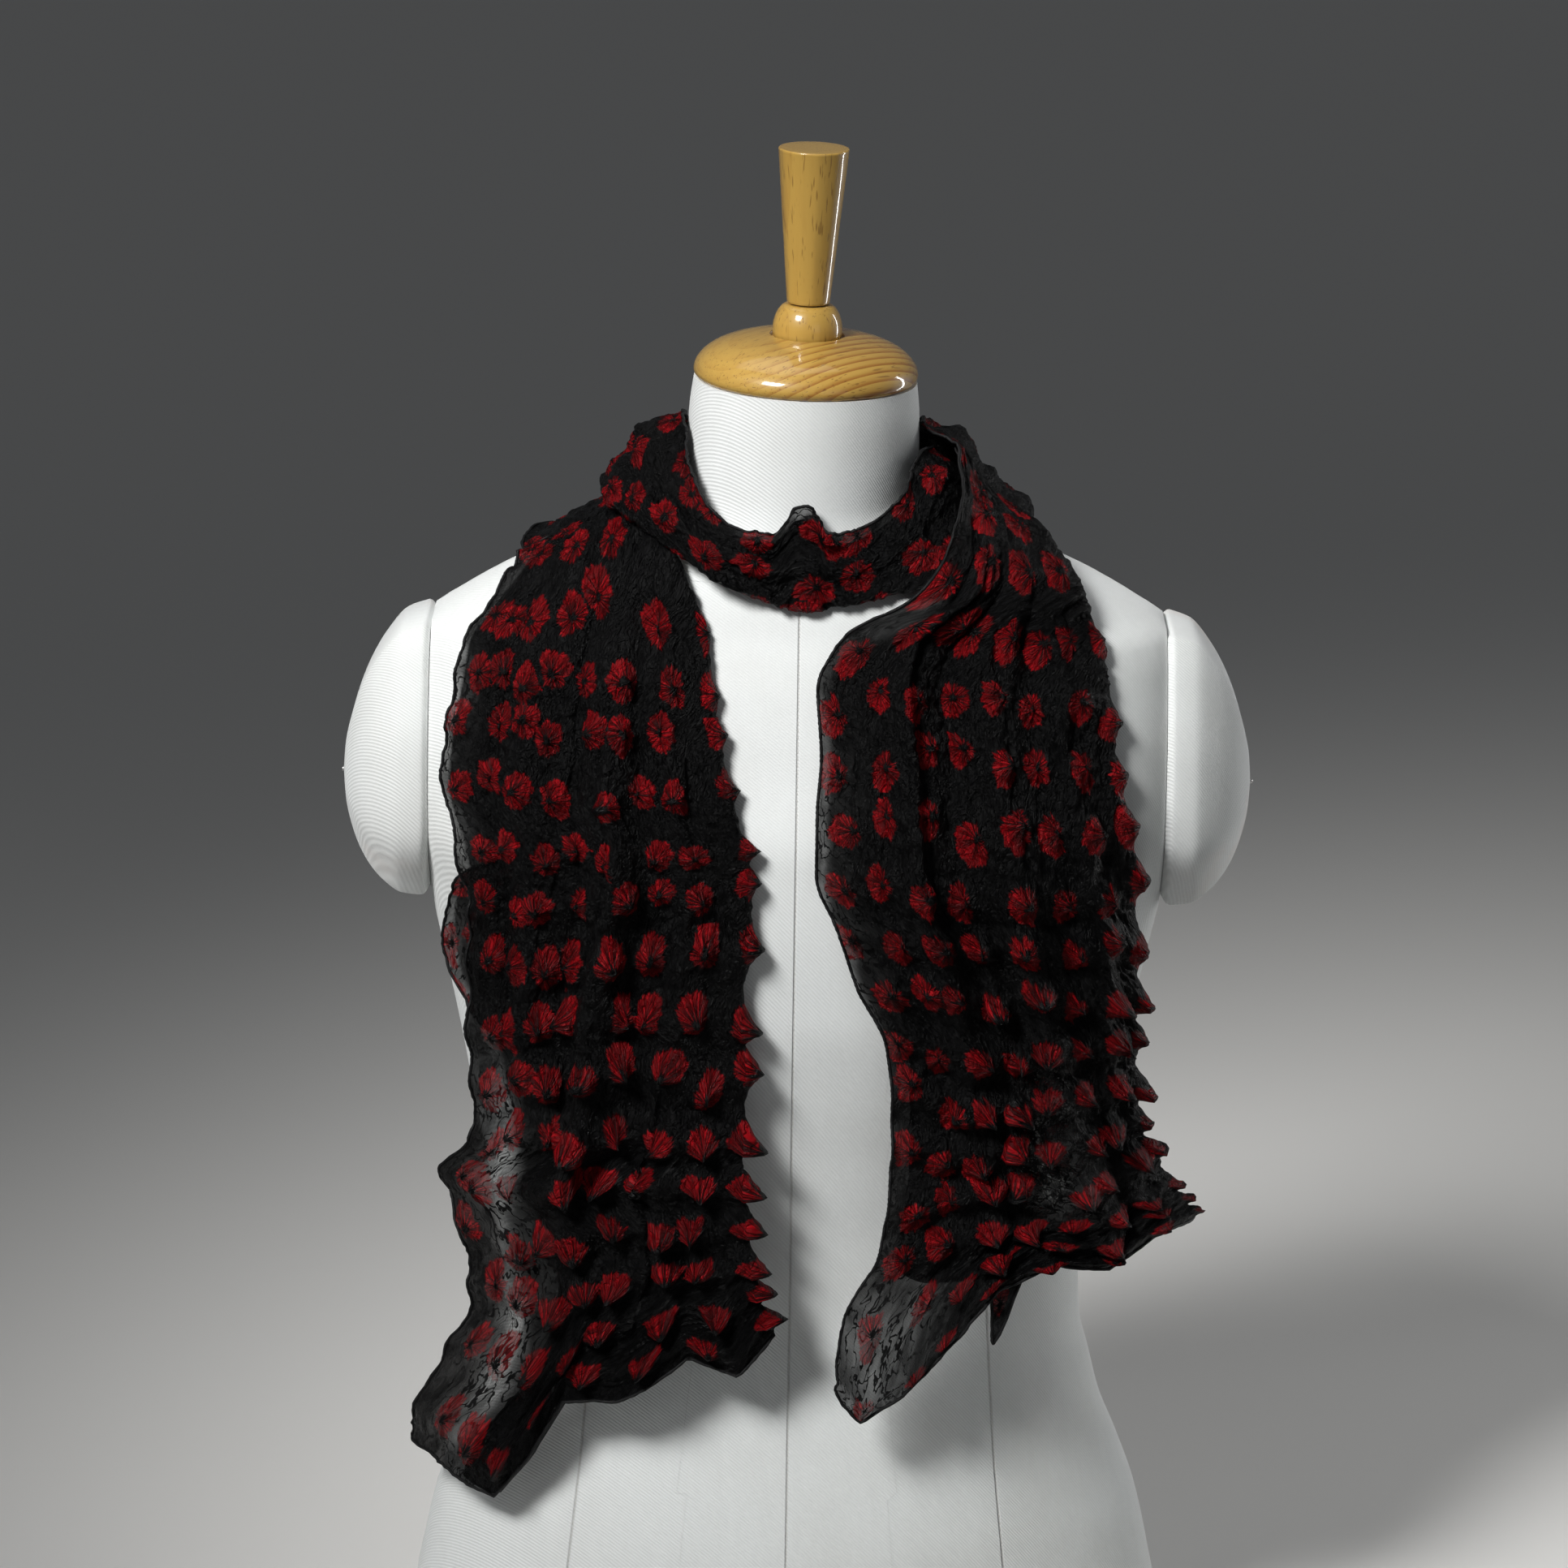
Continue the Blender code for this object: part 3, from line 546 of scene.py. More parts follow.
pad_twill = twill("pad twill", seamed=False)
pin_steel, tree, shader = new_material("pin steel", {
    "Base Color": (0.72, 0.71, 0.69, 1.0),
    "Metallic": 1.0,
})
worn = noise(tree, object_place(tree), 900.0, 2.0)
fill(tree, shader.inputs, {"Roughness": times_plus(tree, worn, 0.25, 0.15)})
for side, word in ((-1, "left"), (1, "right")):
    rise = np.cos(np.linspace(0, math.pi, PAD_OUTLINE_STEPS + 1))
    heights = (ARMHOLE_HIGH + ARMHOLE_LOW) / 2 + rise * (ARMHOLE_HIGH - ARMHOLE_LOW) / 2
    front, back = armhole_depths(heights)
    outline = np.concatenate((
        np.stack((-front, heights), -1),
        np.stack((back, heights), -1)[-2:0:-1],
        np.array(((-front[0], heights[0]),)),
    ))
    middle = np.array((0.0, (ARMHOLE_HIGH + ARMHOLE_LOW) / 2))
    steps = np.linspace(0, len(PAD_RINGS) - 1, PAD_RING_STEPS + 1)
    order = np.arange(len(PAD_RINGS), dtype=float)
    pad_rings = []
    for step in steps:
        out, size, drop = [float(curve(step, order, PAD_RINGS[:, k])) for k in range(3)]
        ring = middle + (outline - middle) * size + (0, drop)
        x = np.full(len(ring), side * (ARMHOLE_HALF_WIDTH + PAD_GAP + out))
        pad_rings.append(np.column_stack((x, ring)))
    laid_out("shoulder_pad_" + word, np.array(pad_rings), pad_twill,
             "form_arm_pad_" + word, closed=True)
    tip = pad_rings[-1][0] + (side * PIN_OUT, FORM_AXIS, 0)
    head = bmesh.new()
    bmesh.ops.create_uvsphere(head, u_segments=16, v_segments=8, radius=PIN_HEAD * MM,
                              matrix=Matrix.Translation(Vector(tip) * MM))
    new_piece("pad_pin_" + word, head, pin_steel)


# ---- The neck cap, bead and handle -----------------------------------------------------------
# Turned from golden hardwood and varnished: a domed cap with a rounded rim, a bead in a
# shallow seat on top of it, and a handle that widens upwards to a flat top.
CAP_PROFILE = (
    (0.0, 680.3), (30.0, 680.3), (53.3, 680.3), (54.9, 681.3), (55.7, 683.6), (55.0, 686.8),
    (52.5, 690.6), (47.9, 694.5), (41.0, 697.8), (31.0, 700.5), (18.6, 702.0), (17.9, 700.4),
    (9.0, 700.4), (0.0, 700.4),
)
BEAD_PROFILE = (
    (0.0, 700.7), (8.0, 700.7), (16.5, 700.7), (17.1, 702.2), (17.3, 704.6), (17.2, 707.0),
    (16.4, 710.6), (14.7, 714.3), (12.6, 716.6), (10.4, 717.4), (5.0, 717.4), (0.0, 717.4),
)
HANDLE_PROFILE = (
    (0.0, 718.0), (9.8, 718.0), (10.3, 718.1), (10.8, 719.0), (10.9, 720.0), (14.2, 756.6),
    (17.5, 793.6), (17.6, 794.2), (17.4, 795.0), (16.6, 795.2), (0.0, 795.2),
)
TURNING_STEPS = 96
FACETS = 11
FACET_DEPTH = 0.16
FACET_FROM = 0.009                  # m from the axis, so that the handle's ends stay flat
AXIS_WELD = 0.00001
WOOD_EDGE = math.radians(50)

WOOD_LIGHT = (0.50, 0.305, 0.066, 1.0)
WOOD_DARK = (0.31, 0.130, 0.022, 1.0)
WOOD_PORE = (0.12, 0.042, 0.010, 1.0)


def turned(name, profile, material, node, round_steps=3, facets=0):
    """Turn a profile of radii and heights round the form's axis."""
    order = np.arange(len(profile), dtype=float)
    at = np.linspace(0, len(profile) - 1, (len(profile) - 1) * round_steps + 1)
    radii = curve(at, order, np.array([p[0] for p in profile], float))
    heights = curve(at, order, np.array([p[1] for p in profile], float))
    made = bmesh.new()
    points = [made.verts.new((r * MM, 0, h * MM)) for r, h in zip(radii, heights)]
    edges = [made.edges.new(pair) for pair in zip(points, points[1:])]
    bmesh.ops.spin(made, geom=points + edges, axis=(0, 0, 1), cent=(0, 0, 0),
                   angle=2 * math.pi, steps=TURNING_STEPS, use_merge=True)
    bmesh.ops.remove_doubles(made, verts=made.verts, dist=AXIS_WELD)
    bmesh.ops.recalc_face_normals(made, faces=made.faces)
    if facets:
        for point in made.verts:
            turn = math.atan2(point.co.y, point.co.x) * facets / (2 * math.pi)
            off = abs(turn - round(turn)) * 2
            radius = math.hypot(point.co.x, point.co.y)
            if radius > FACET_FROM:
                point.co.xy *= 1 - FACET_DEPTH * MM * (1 - off * off) / radius
    bmesh.ops.rotate(made, verts=made.verts, cent=(0, 0, LEAN_FROM * MM),
                     matrix=Matrix.Rotation(math.radians(LEAN), 3, "Y"))
    bmesh.ops.translate(made, verts=made.verts, vec=(0, FORM_AXIS * MM, 0))
    piece = new_piece(name, made, material, node)
    piece.data.set_sharp_from_angle(angle=WOOD_EDGE)


# grain that runs along Z of Plank; Figure is how strongly the growth rings show
grain_effect, given, wanted = effect(
    "wood grain", (("Plank", "Vector"), ("Figure", "Float")),
    (("Colour", "Color"), ("Roughness", "Float"), ("Height", "Float")))
tree = grain_effect
plank = given["Plank"]
growth_rings = shader_node(tree, "TexWave", {
    "Vector": stretched(tree, plank, (1.0, 1.0, 0.16)),
    "Scale": 68.0,
    "Distortion": 2.4,
    "Detail": 2.0,
    "Detail Scale": 0.5,
}, wave_type="RINGS", rings_direction="Z", wave_profile="SAW")
streaks = noise(tree, stretched(tree, plank, (1.0, 1.0, 0.035)), 330.0, 4.0, 0.6)
pores = noise(tree, stretched(tree, plank, (1.0, 1.0, 0.07)), 950.0, 1.0)
late_wood = math_node(tree, "POWER", growth_rings.outputs["Fac"], 2.2)
tone = times_plus(tree, late_wood, given["Figure"], times(tree, streaks, 0.55))
grain = mix_colour(tree, between(tree, tone, 0.20, 1.05), WOOD_LIGHT, WOOD_DARK)
pore = between(tree, pores, 0.62, 0.70)
pore_share = times(tree, pore, 0.5)
pore_depth = times(tree, pore, -0.6)
fill(tree, wanted, {
    "Colour": mix_colour(tree, pore_share, grain, WOOD_PORE),
    "Roughness": times_plus(tree, streaks, 0.16, 0.30),
    "Height": times_plus(tree, streaks, 0.3, pore_depth),
})


def varnished_wood(name, across, turn, place, figured, figure_low, figure_rise):
    """Golden wood under a coat of varnish, its figure growing stronger along X."""
    made, tree, shader = new_material(name, {
        "Specular IOR Level": 0.3,
        "Coat Weight": 1.0,
        "Coat Roughness": 0.05,
    })
    here = object_place(tree)
    plank = stretched(tree, here, (1.0, 1.0, 1.0), across)
    plank = stretched(tree, plank, (1.0, 1.0, 1.0), turn, place)
    along = shader_node(tree, "SeparateXYZ", {0: here}).outputs["X"]
    figure = times_plus(tree, between(tree, along, *figured), figure_rise, figure_low)
    grain = placed(tree, grain_effect, {"Plank": plank, "Figure": figure})
    fill(tree, shader.inputs, {
        "Base Color": grain["Colour"],
        "Roughness": grain["Roughness"],
        "Normal": bump(tree, grain["Height"], 0.00008),
    })
    return made


quarter = math.radians(90)
cap_wood = varnished_wood("varnished wood, flat grain", (0, 0, math.radians(-42)), (0, quarter, 0),
                          (-0.745, -0.015, 0.0), (-0.035, 0.020), 0.20, 0.68)
upright_wood = varnished_wood("varnished wood, long grain", (0, 0, 0), (0, 0, 0),
                              (0.030, 0.012, 0.0), (0.0, -0.014), 0.03, 0.30)
turned("neck_cap", CAP_PROFILE, cap_wood, "form_neck_cap")
turned("cap_bead", BEAD_PROFILE, upright_wood, "form_bead")
turned("cap_handle", HANDLE_PROFILE, upright_wood, "form_handle", 2, FACETS)


# ---- The stole's cloth -----------------------------------------------------------------------
# One length of thin black silk crepe, folded in half along its length. It was tied in rows of
# little knots, dyed, and untied without pressing, so it keeps a ring on a peak at each knot.
UNDER_LAYER = 1.6                   # mm from what it rests on to the folded-back layer
FRONT_LAYER = 6.2                   # and to the front layer
BEND = (FRONT_LAYER - UNDER_LAYER) / 2      # radius of the fold's bend, and its own middle
BEND_MIDDLE = (FRONT_LAYER + UNDER_LAYER) / 2
PASS_OVER = 7.4                     # how much further out a stretch lies that crosses another
HANG_HEIGHT = 430.0                 # below this height the tails hang straight down
TIE_PITCH = 28.0                    # mm of cloth from knot to knot
FOLD_COLUMN = 7.5                   # column of knots where the cloth is folded
TIE_SPREAD = 10.5                   # mm from a knot to the foot of its peak
TIE_HEIGHTS = (0.70, 1.15)          # each peak's own share of the full height
TIE_GATHERS = (6.5, 9.5)            # how many gathers run into a knot
RING_STRAY = (1.8, 1.2)             # mm that a ring strays from its knot, across and down
FAN_RISE = 2.0                      # mm that a fan stands above its knot
TIE_REACH = 0.85                    # rows over which a knot is felt
CREPE_RIDGE = 0.75                  # mm: the crepe's sharp ridges, broad waves and cross ridges
CREPE_WAVE = 0.95
CREPE_CROSS = 0.38
KNOB_HEIGHT = 1.1                   # mm: the nub at the middle of each peak
KNOB_RADIUS = 1.9
GATHER_HEIGHT = 1.25                # mm: the gathers around it, highest at their reach
GATHER_REACH = 4.6
NO_TIE = 40.0                       # mm, where no knot is near
END_ROWS = 3.2                      # rows over which the end hem takes its own fall
BAND_ENDS = (560, 577)              # heights between which the right tail mounts the band
TO_CM = 0.1
HUG_HEIGHT = 17.0                   # the top of each pass leans in to the neck over this height
HUG_LIFT = -8.0                     # the outward lift that is left at its top edge
RIGHT_TOP = 660.0                   # height of the right tail's hem where it starts

# the slope of cloth between shoulder and neck, columns as in TORSO_SECTIONS
COLLAR_SECTIONS = np.array((
    (588, 138, 70.5, 80, 2.2),
    (597, 121, 67.5, 78.5, 2.1),
    (604, 107, 65.2, 77, 2.05),
    (612, 94, 63.0, 75.5, 2.0),
    (623, 82, 60.9, 73, 2.0),
    (635, 74, 59.6, 70, 2.0),
    (648, 67, 59.0, 66, 2.0),
    (661, 61.5, 58.5, 62, 2.0),
    (675, 58.5, 58.0, 59, 2.0),
), float)
DRAPE_SECTIONS = np.vstack((
    [row for row in TORSO_SECTIONS if HANG_HEIGHT <= row[0] < COLLAR_SECTIONS[0, 0]],
    COLLAR_SECTIONS,
))


def ease(value, low, high):
    """Rise smoothly from 0 at low to 1 at high."""
    t = np.clip((value - low) / (high - low), 0, 1)
    return t * t * (3 - 2 * t)


def drape(angle, height, lift):
    """Points on the surface that the cloth lies over, moved straight out of it by lift."""
    def surface(angle, height):
        return polar(angle, section_radius(angle, *columns_at(DRAPE_SECTIONS, height)), height)
    step_angle, step_height = 0.5, 1.0
    around = surface(angle + step_angle, height) - surface(angle - step_angle, height)
    upward = surface(angle, height + step_height) - surface(angle, height - step_height)
    out = np.cross(around, upward)
    out /= np.linalg.norm(out, axis=-1, keepdims=True)
    return surface(angle, height) + out * np.asarray(lift)[..., None]


def leaning_in(height, top, lift, top_lift):
    """Lift of a stretch beside the neck, whose top leans in until its edge lies close."""
    return lift + (top_lift - lift) * ease(height, top - HUG_HEIGHT, top)


def lengths_along(points):
    """Distance run at each point of a line of points."""
    return np.concatenate(([0], np.cumsum(np.linalg.norm(np.diff(points, axis=0), axis=1))))


def soft_noise(x, y, seed):
    """Smooth noise from -1 to 1 whose bumps are about one unit apart."""
    chart = np.random.RandomState(seed).uniform(-1, 1, (256, 256))
    x0, y0 = np.floor(x).astype(int), np.floor(y).astype(int)
    fx, fy = x - x0, y - y0
    fx, fy = fx * fx * (3 - 2 * fx), fy * fy * (3 - 2 * fy)
    x0, x1, y0, y1 = x0 % 256, (x0 + 1) % 256, y0 % 256, (y0 + 1) % 256
    low = chart[x0, y0] * (1 - fx) + chart[x1, y0] * fx
    high = chart[x0, y1] * (1 - fx) + chart[x1, y1] * fx
    return low * (1 - fy) + high * fy


def crinkle(across, down, seed, along=2.6):
    """The crepe's own small creases, in mm: sharp ridges that run down the cloth and wander."""
    wander = 3.0 * soft_noise(across / 11, down / 13, seed)
    sharp = 1 - 2.2 * np.abs(soft_noise((across + wander) / 2.7, down / (2.7 * along), seed + 1))
    broad = soft_noise((across + wander) / 6.5, down / (5.0 * along), seed + 2)
    cross = 1 - 2.2 * np.abs(soft_noise(across / 9, (down + wander) / 5.0, seed + 3))
    return CREPE_RIDGE * sharp + CREPE_WAVE * broad + CREPE_CROSS * cross


def row_sag(row, column, seed):
    """How far the rows of knots sag out of line, in rows."""
    return 0.28 * soft_noise(column / 2.4, row / 2.2, seed)


def worn_in(row, column):
    """The row, counted as less near the hem, where the cloth stays flat all the way down."""
    return row * (0.35 + 0.65 * ease(column, 0.5, 3.5))


def tie_places(rows, columns, seed, row_pull, column_pull, lean, fan_rows):
    """Where the knots are, as row and column, each a little out of line, and its own numbers:
    height, turn and number of its gathers, how far its ring lies from it in mm, and how far
    the ring is squashed to a fan, which grows from 0 to 1 between the fan rows."""
    own = np.random.RandomState(seed)
    places = []
    for row in rows:
        for column in columns:
            fan = float(ease(worn_in(row, column), *fan_rows))
            pull = own.uniform(-1, 1, 4)
            aside = 0.0 if column == FOLD_COLUMN else pull[0] * column_pull
            sag = float(row_sag(row, column, seed))
            places.append((
                row + pull[1] * row_pull + sag,
                column + aside,
                own.uniform(*TIE_HEIGHTS),
                own.uniform(0, 2 * math.pi),
                own.uniform(*TIE_GATHERS),
                lean[0] * (1 - fan) + RING_STRAY[0] * pull[2],
                lean[1] * (1 - fan) - FAN_RISE * fan + RING_STRAY[1] * pull[3],
                fan,
            ))
    return np.array(places)


def nearest_ties(rows, columns, across, ties):
    """For each point of the cloth: mm across and down from its nearest knot, and which it is."""
    off_across = np.full(across.shape, NO_TIE)
    off_down = np.full(across.shape, NO_TIE)
    which = np.zeros(across.shape, int)
    for i, row in enumerate(rows):
        near = np.flatnonzero(np.abs(ties[:, 0] - row) < TIE_REACH)
        if not len(near):
            continue
        at = np.interp(ties[near, 1], columns, across[i])
        x = across[i][:, None] - at[None, :]
        y = (row - ties[near, 0])[None, :] * TIE_PITCH
        best = np.argmin(x * x + y * y, axis=1)
        pick = np.arange(len(best))
        off_across[i] = x[pick, best]
        off_down[i] = (0 * x + y)[pick, best]
        which[i] = near[best]
    return off_across, off_down, which


def tie_relief(off_across, off_down, own, height):
    """Height of the peak and its gathers around each knot, in mm."""
    distance = np.hypot(off_across, off_down)
    round_knot = np.arctan2(off_down, off_across)
    slope = np.clip(1 - distance / TIE_SPREAD, 0, 1)
    peak = height * own[..., 2] * slope ** 1.25
    knob = KNOB_HEIGHT * np.clip(1 - (distance / KNOB_RADIUS) ** 2, 0, 1)
    knob = knob * np.minimum(height / 6, 1)
    wander = 0.5 * soft_noise(off_across / 3.2, off_down / 3.2, 5)
    gathers = np.abs(np.sin(round_knot * np.round(own[..., 4]) / 2 + own[..., 3] + wander))
    reach = distance / GATHER_REACH
    strength = GATHER_HEIGHT * reach * np.exp(1 - reach) * ease(-distance, -16, -6)
    return peak + knob + strength * (0.62 - gathers), slope


def cloth_normals(grid, seams):
    """Unit normals of a grid of points, pointing to the face side of the cloth."""
    along = np.gradient(grid, axis=0)
    for row, angle, sense in seams:
        turn = math.radians(angle)
        along[row] = sense * np.array((math.cos(turn), math.sin(turn), 0.0))
    normals = np.cross(along, np.gradient(grid, axis=1))
    return normals / np.linalg.norm(normals, axis=-1, keepdims=True)


def keep_map(data, name, places):
    """Keep a flat map for the corners of a mesh's faces, in centimetres of cloth."""
    data.uv_layers.new(name=name).data.foreach_set("uv", places.ravel())


def silk_sheet(name, node, grid, rows, columns, across, ties, peak, droop, wrinkle, thin, seams):
    """Give a stretch of cloth its peaks and creases, and the maps that its dye follows."""
    off_across, off_down, which = nearest_ties(rows, columns, across, ties)
    own = ties[which]
    relief, slope = tie_relief(off_across, off_down, own, peak)
    calm = 1 - 0.75 * ease(slope, 0.0, 0.5)
    relief = relief + wrinkle * calm
    points = grid + cloth_normals(grid, seams) * relief[..., None]
    points[..., 2] -= droop * own[..., 2] * slope ** 1.3
    sheet = laid_out(name, points, silk, node, closed=False)
    data = sheet.data
    corners = np.zeros(len(data.loops), int)
    data.loops.foreach_get("vertex_index", corners)
    cloth_map = np.stack((across, 0 * across + np.asarray(rows)[:, None] * TIE_PITCH), -1) * TO_CM
    keep_map(data, "cloth", cloth_map.reshape(-1, 2)[corners])
    tie_map = np.stack((off_across, off_down), -1).reshape(-1, 2)[corners] * TO_CM
    tie_map = tie_map.reshape(-1, 4, 2)
    owner = which.ravel()[corners].reshape(-1, 4)
    split = (owner != owner[:, :1]).any(axis=1)
    tie_map[split] = tie_map[split][:, :1]
    keep_map(data, "tie", tie_map)
    ring = ties[owner[:, 0]]
    ring_at = np.column_stack((ring[:, 5:7] * TO_CM, ring[:, 3]))
    keep_values(data, "ring_at", "FLOAT_VECTOR", "FACE", ring_at)
    keep_values(data, "fan", "FLOAT", "FACE", ring[:, 7])
    keep_values(data, "thin", "FLOAT", "POINT", thin)
    return sheet, points


HEM_RADIUS = 0.80
HEM_SIDES_RESOLUTION = 2
HEM_TURN = 2.3                      # mm along the hem from one turn of its thread to the next


def rolled_hem(name, runs):
    """The narrow hem: the raw edge rolled in and bound over with close black thread."""
    joined = bmesh.new()
    for run in runs:
        path = bpy.data.curves.new(name + "_path", "CURVE")
        path.dimensions = "3D"
        path.bevel_depth = HEM_RADIUS * MM
        path.bevel_resolution = HEM_SIDES_RESOLUTION
        path.use_fill_caps = True
        line = path.splines.new("POLY")
        line.points.add(len(run) - 1)
        line.points.foreach_set("co", np.column_stack((in_place(run), np.ones(len(run)))).ravel())
        thread = lengths_along(run)
        turns = 1 + 0.13 * np.sin(2 * math.pi * thread / HEM_TURN)
        line.points.foreach_set("radius", turns + 0.10 * soft_noise(thread / 4, 0 * thread, 31))
        holder = bpy.data.objects.new(name + "_path", path)
        bpy.context.scene.collection.objects.link(holder)
        bound = holder.evaluated_get(bpy.context.evaluated_depsgraph_get())
        made = bpy.data.meshes.new_from_object(bound)
        joined.from_mesh(made)
        bpy.data.objects.remove(holder, do_unlink=True)
        bpy.data.curves.remove(path)
        bpy.data.meshes.remove(made)
    bmesh.ops.recalc_face_normals(joined, faces=joined.faces)
    return new_piece(name, joined, hem_thread)


# the dye: the tied cloth stays crimson in a ring, and all else is black. One layer lets a
# little light through, more where the crepe is stretched thin and none along its creases.
# SILK_BLACK is also the painted shade laid along the creases and the rays out of each knot
SILK_BLACK = (0.0012, 0.0012, 0.0013, 1.0)
SILK_GREY = (0.0046, 0.0044, 0.0048, 1.0)
DYE_CRIMSON = (0.285, 0.0021, 0.0056, 1.0)
DYE_DEEP = (0.120, 0.0009, 0.0024, 1.0)
RING_RADIUS = 0.90                  # cm
RING_HEART = 0.20
RING_NARROWER = 1.22                # how much narrower a ring is than it is tall
FAN_WIDER = 0.20                    # how much wider and flatter it is as a fan
FAN_FLATTER = 0.65
VEIN_SCALE = 1.8                    # creases to a centimetre of cloth
SILK_COVER = 0.981                  # share of the light that one flat layer stops
THIN_SHARE = 0.34                   # how much less it stops where it is stretched thin


def swayed(tree, vector, scale, amount):
    """A vector moved aside by smooth noise of the given scale and amount."""
    sway = shader_node(tree, "TexNoise", {"Vector": vector, "Scale": scale, "Detail": 2.0})
    amounts = (amount, amount, 0.0)
    return vector_math(tree, "MULTIPLY_ADD", sway.outputs["Color"], amounts, vector)[0]


def varied(tree, value, noise_value, amount):
    """A value moved up and down by a noise that is 0.5 on the whole."""
    off = math_node(tree, "SUBTRACT", noise_value, 0.5)
    return times_plus(tree, off, amount, value)


def crease_lines(tree, vector, scale, width):
    """Thin creases that wander and branch: 1 along them and 0 elsewhere."""
    level = noise(tree, vector, scale, 2.0)
    off = math_node(tree, "ABSOLUTE", math_node(tree, "SUBTRACT", level, 0.5))
    return math_node(tree, "SUBTRACT", 1.0, between(tree, off, 0.35 * width, width))


silk, tree, shader = new_material("crinkled silk, tied and dyed", {"Specular IOR Level": 0.10})
cloth_uv = shader_node(tree, "UVMap", {}, uv_map="cloth").outputs[0]
tie_uv = shader_node(tree, "UVMap", {}, uv_map="tie").outputs[0]

# the ring: a ragged rim around its own middle, and a black heart where the knot was tied
ring_at = attribute(tree, "ring_at", "Vector")
shift = vector_math(tree, "MULTIPLY", ring_at, (1.0, 1.0, 0.0))[0]
from_middle = vector_math(tree, "SUBTRACT", tie_uv, shift)[0]
fan = attribute(tree, "fan", "Fac")
shape = shader_node(tree, "CombineXYZ", {
    "X": times_plus(tree, fan, -FAN_WIDER, RING_NARROWER),
    "Y": times_plus(tree, fan, FAN_FLATTER, 1.0),
}).outputs[0]
shaped = vector_math(tree, "MULTIPLY", from_middle, shape)[0]
from_ring = vector_math(tree, "LENGTH", shaped)["Value"]
from_knot = vector_math(tree, "LENGTH", tie_uv)["Value"]
way = vector_math(tree, "NORMALIZE", tie_uv)[0]
own_way = vector_math(tree, "MULTIPLY_ADD", ring_at, (0.0, 0.0, 3.7), way)[0]
lobes = noise(tree, own_way, 0.75, 1.0)
tips = noise(tree, own_way, 2.4, 1.0)
fray = noise(tree, own_way, 6.5, 3.0, 0.75)
rim = varied(tree, RING_RADIUS, lobes, 1.0)
rim = varied(tree, rim, tips, 0.42)
rim = varied(tree, rim, fray, 0.75)
inside = between(tree, math_node(tree, "SUBTRACT", rim, from_ring), -0.03, 0.06)
heart = varied(tree, RING_HEART, tips, 0.55)
outside_heart = between(tree, math_node(tree, "SUBTRACT", from_knot, heart), -0.03, 0.07)
ring = times(tree, inside, outside_heart)

# the creases: branching veins all over, and rays that run out of each knot. Both also carry
# painted shade that darkens the dye along them
bent = swayed(tree, cloth_uv, 0.9, 0.9)
bent = swayed(tree, bent, 3.2, 0.22)
veins = crease_lines(tree, stretched(tree, bent, (1.0, 0.55, 1.0)), VEIN_SCALE, 0.055)
turned_aside = stretched(tree, bent, (1.0, 0.48, 1.0), (0, 0, 0.15))
fine_veins = crease_lines(tree, turned_aside, 2.2 * VEIN_SCALE, 0.080)
crease_and_shade_line = math_node(tree, "MAXIMUM", veins, times(tree, fine_veins, 0.8))
ray_fade = times_plus(tree, between(tree, from_knot, 0.30, 1.25), -0.9, 1.0)
ray_and_shade_line = times(tree, crease_lines(tree, own_way, 4.0, 0.080), ray_fade)

# the colour, with painted shade along the creases and the rays out of each knot
grain = noise(tree, cloth_uv, 42.0, 2.0, 0.6)
blotches = noise(tree, stretched(tree, bent, (1.0, 0.5, 1.0)), 1.1, 2.0, 0.55)
depth = between(tree, times_plus(tree, grain, 0.4, blotches), 0.52, 0.98)
petal = mix_colour(tree, depth, DYE_CRIMSON, DYE_DEEP)
# painted shade: the rays out of each knot darken the petals towards black
petal = mix_colour(tree, times(tree, ray_and_shade_line, 0.9), petal, SILK_BLACK)
ground = mix_colour(tree, between(tree, grain, 0.35, 0.80), SILK_BLACK, SILK_GREY)
dyed_and_shaded = mix_colour(tree, ring, ground, petal)
# painted shade: the creases darken the dye towards black
dyed_and_shaded = mix_colour(tree, times(tree, crease_and_shade_line, 0.45), dyed_and_shaded, SILK_BLACK)

# how much of the light the cloth stops
patch = between(tree, times_plus(tree, grain, 0.35, blotches), 0.50, 0.90)
thinned = times(tree, attribute(tree, "thin", "Fac"), times_plus(tree, patch, 0.8, 0.4))
cover = times_plus(tree, patch, -0.035, SILK_COVER + 0.015)
less = times_plus(tree, ring, 0.20, -THIN_SHARE)
cover = times_plus(tree, thinned, less, cover)
cover = math_node(tree, "MAXIMUM", cover, times(tree, crease_and_shade_line, 0.995))
cover = math_node(tree, "MAXIMUM", cover, ray_and_shade_line)
cover = math_node(tree, "MAXIMUM", cover, math_node(tree, "SUBTRACT", 1.0, outside_heart))

# the relief
fine = noise(tree, stretched(tree, bent, (1.0, 0.30, 1.0)), 4.6, 3.0, 0.6)
height = times_plus(tree, fine, 1.5, times(tree, grain, 0.16))
height = times_plus(tree, crease_and_shade_line, 0.60, height)
height = times_plus(tree, ray_and_shade_line, times(tree, ring, -0.5), height)
fill(tree, shader.inputs, {
    "Base Color": dyed_and_shaded,
    "Alpha": cover,
    "Roughness": times_plus(tree, grain, 0.2, 0.33),
    "Normal": bump(tree, height, 0.0020),
})

HEM_BLACK = (0.0015, 0.0015, 0.0018, 1.0)
HEM_SHEEN = (0.007, 0.007, 0.0075, 1.0)
hem_thread, tree, shader = new_material("black hem thread", {
    "Roughness": 0.55,
    "Specular IOR Level": 0.2,
})
twist = placed(tree, thread_effect, {"Place": object_place(tree), "Scale": 1500.0, "Detail": 2.0})
fill(tree, shader.inputs, {
    "Base Color": mix_colour(tree, twist["Twist"], HEM_BLACK, HEM_SHEEN),
    "Normal": bump(tree, twist["Twist"], 0.0004),
})


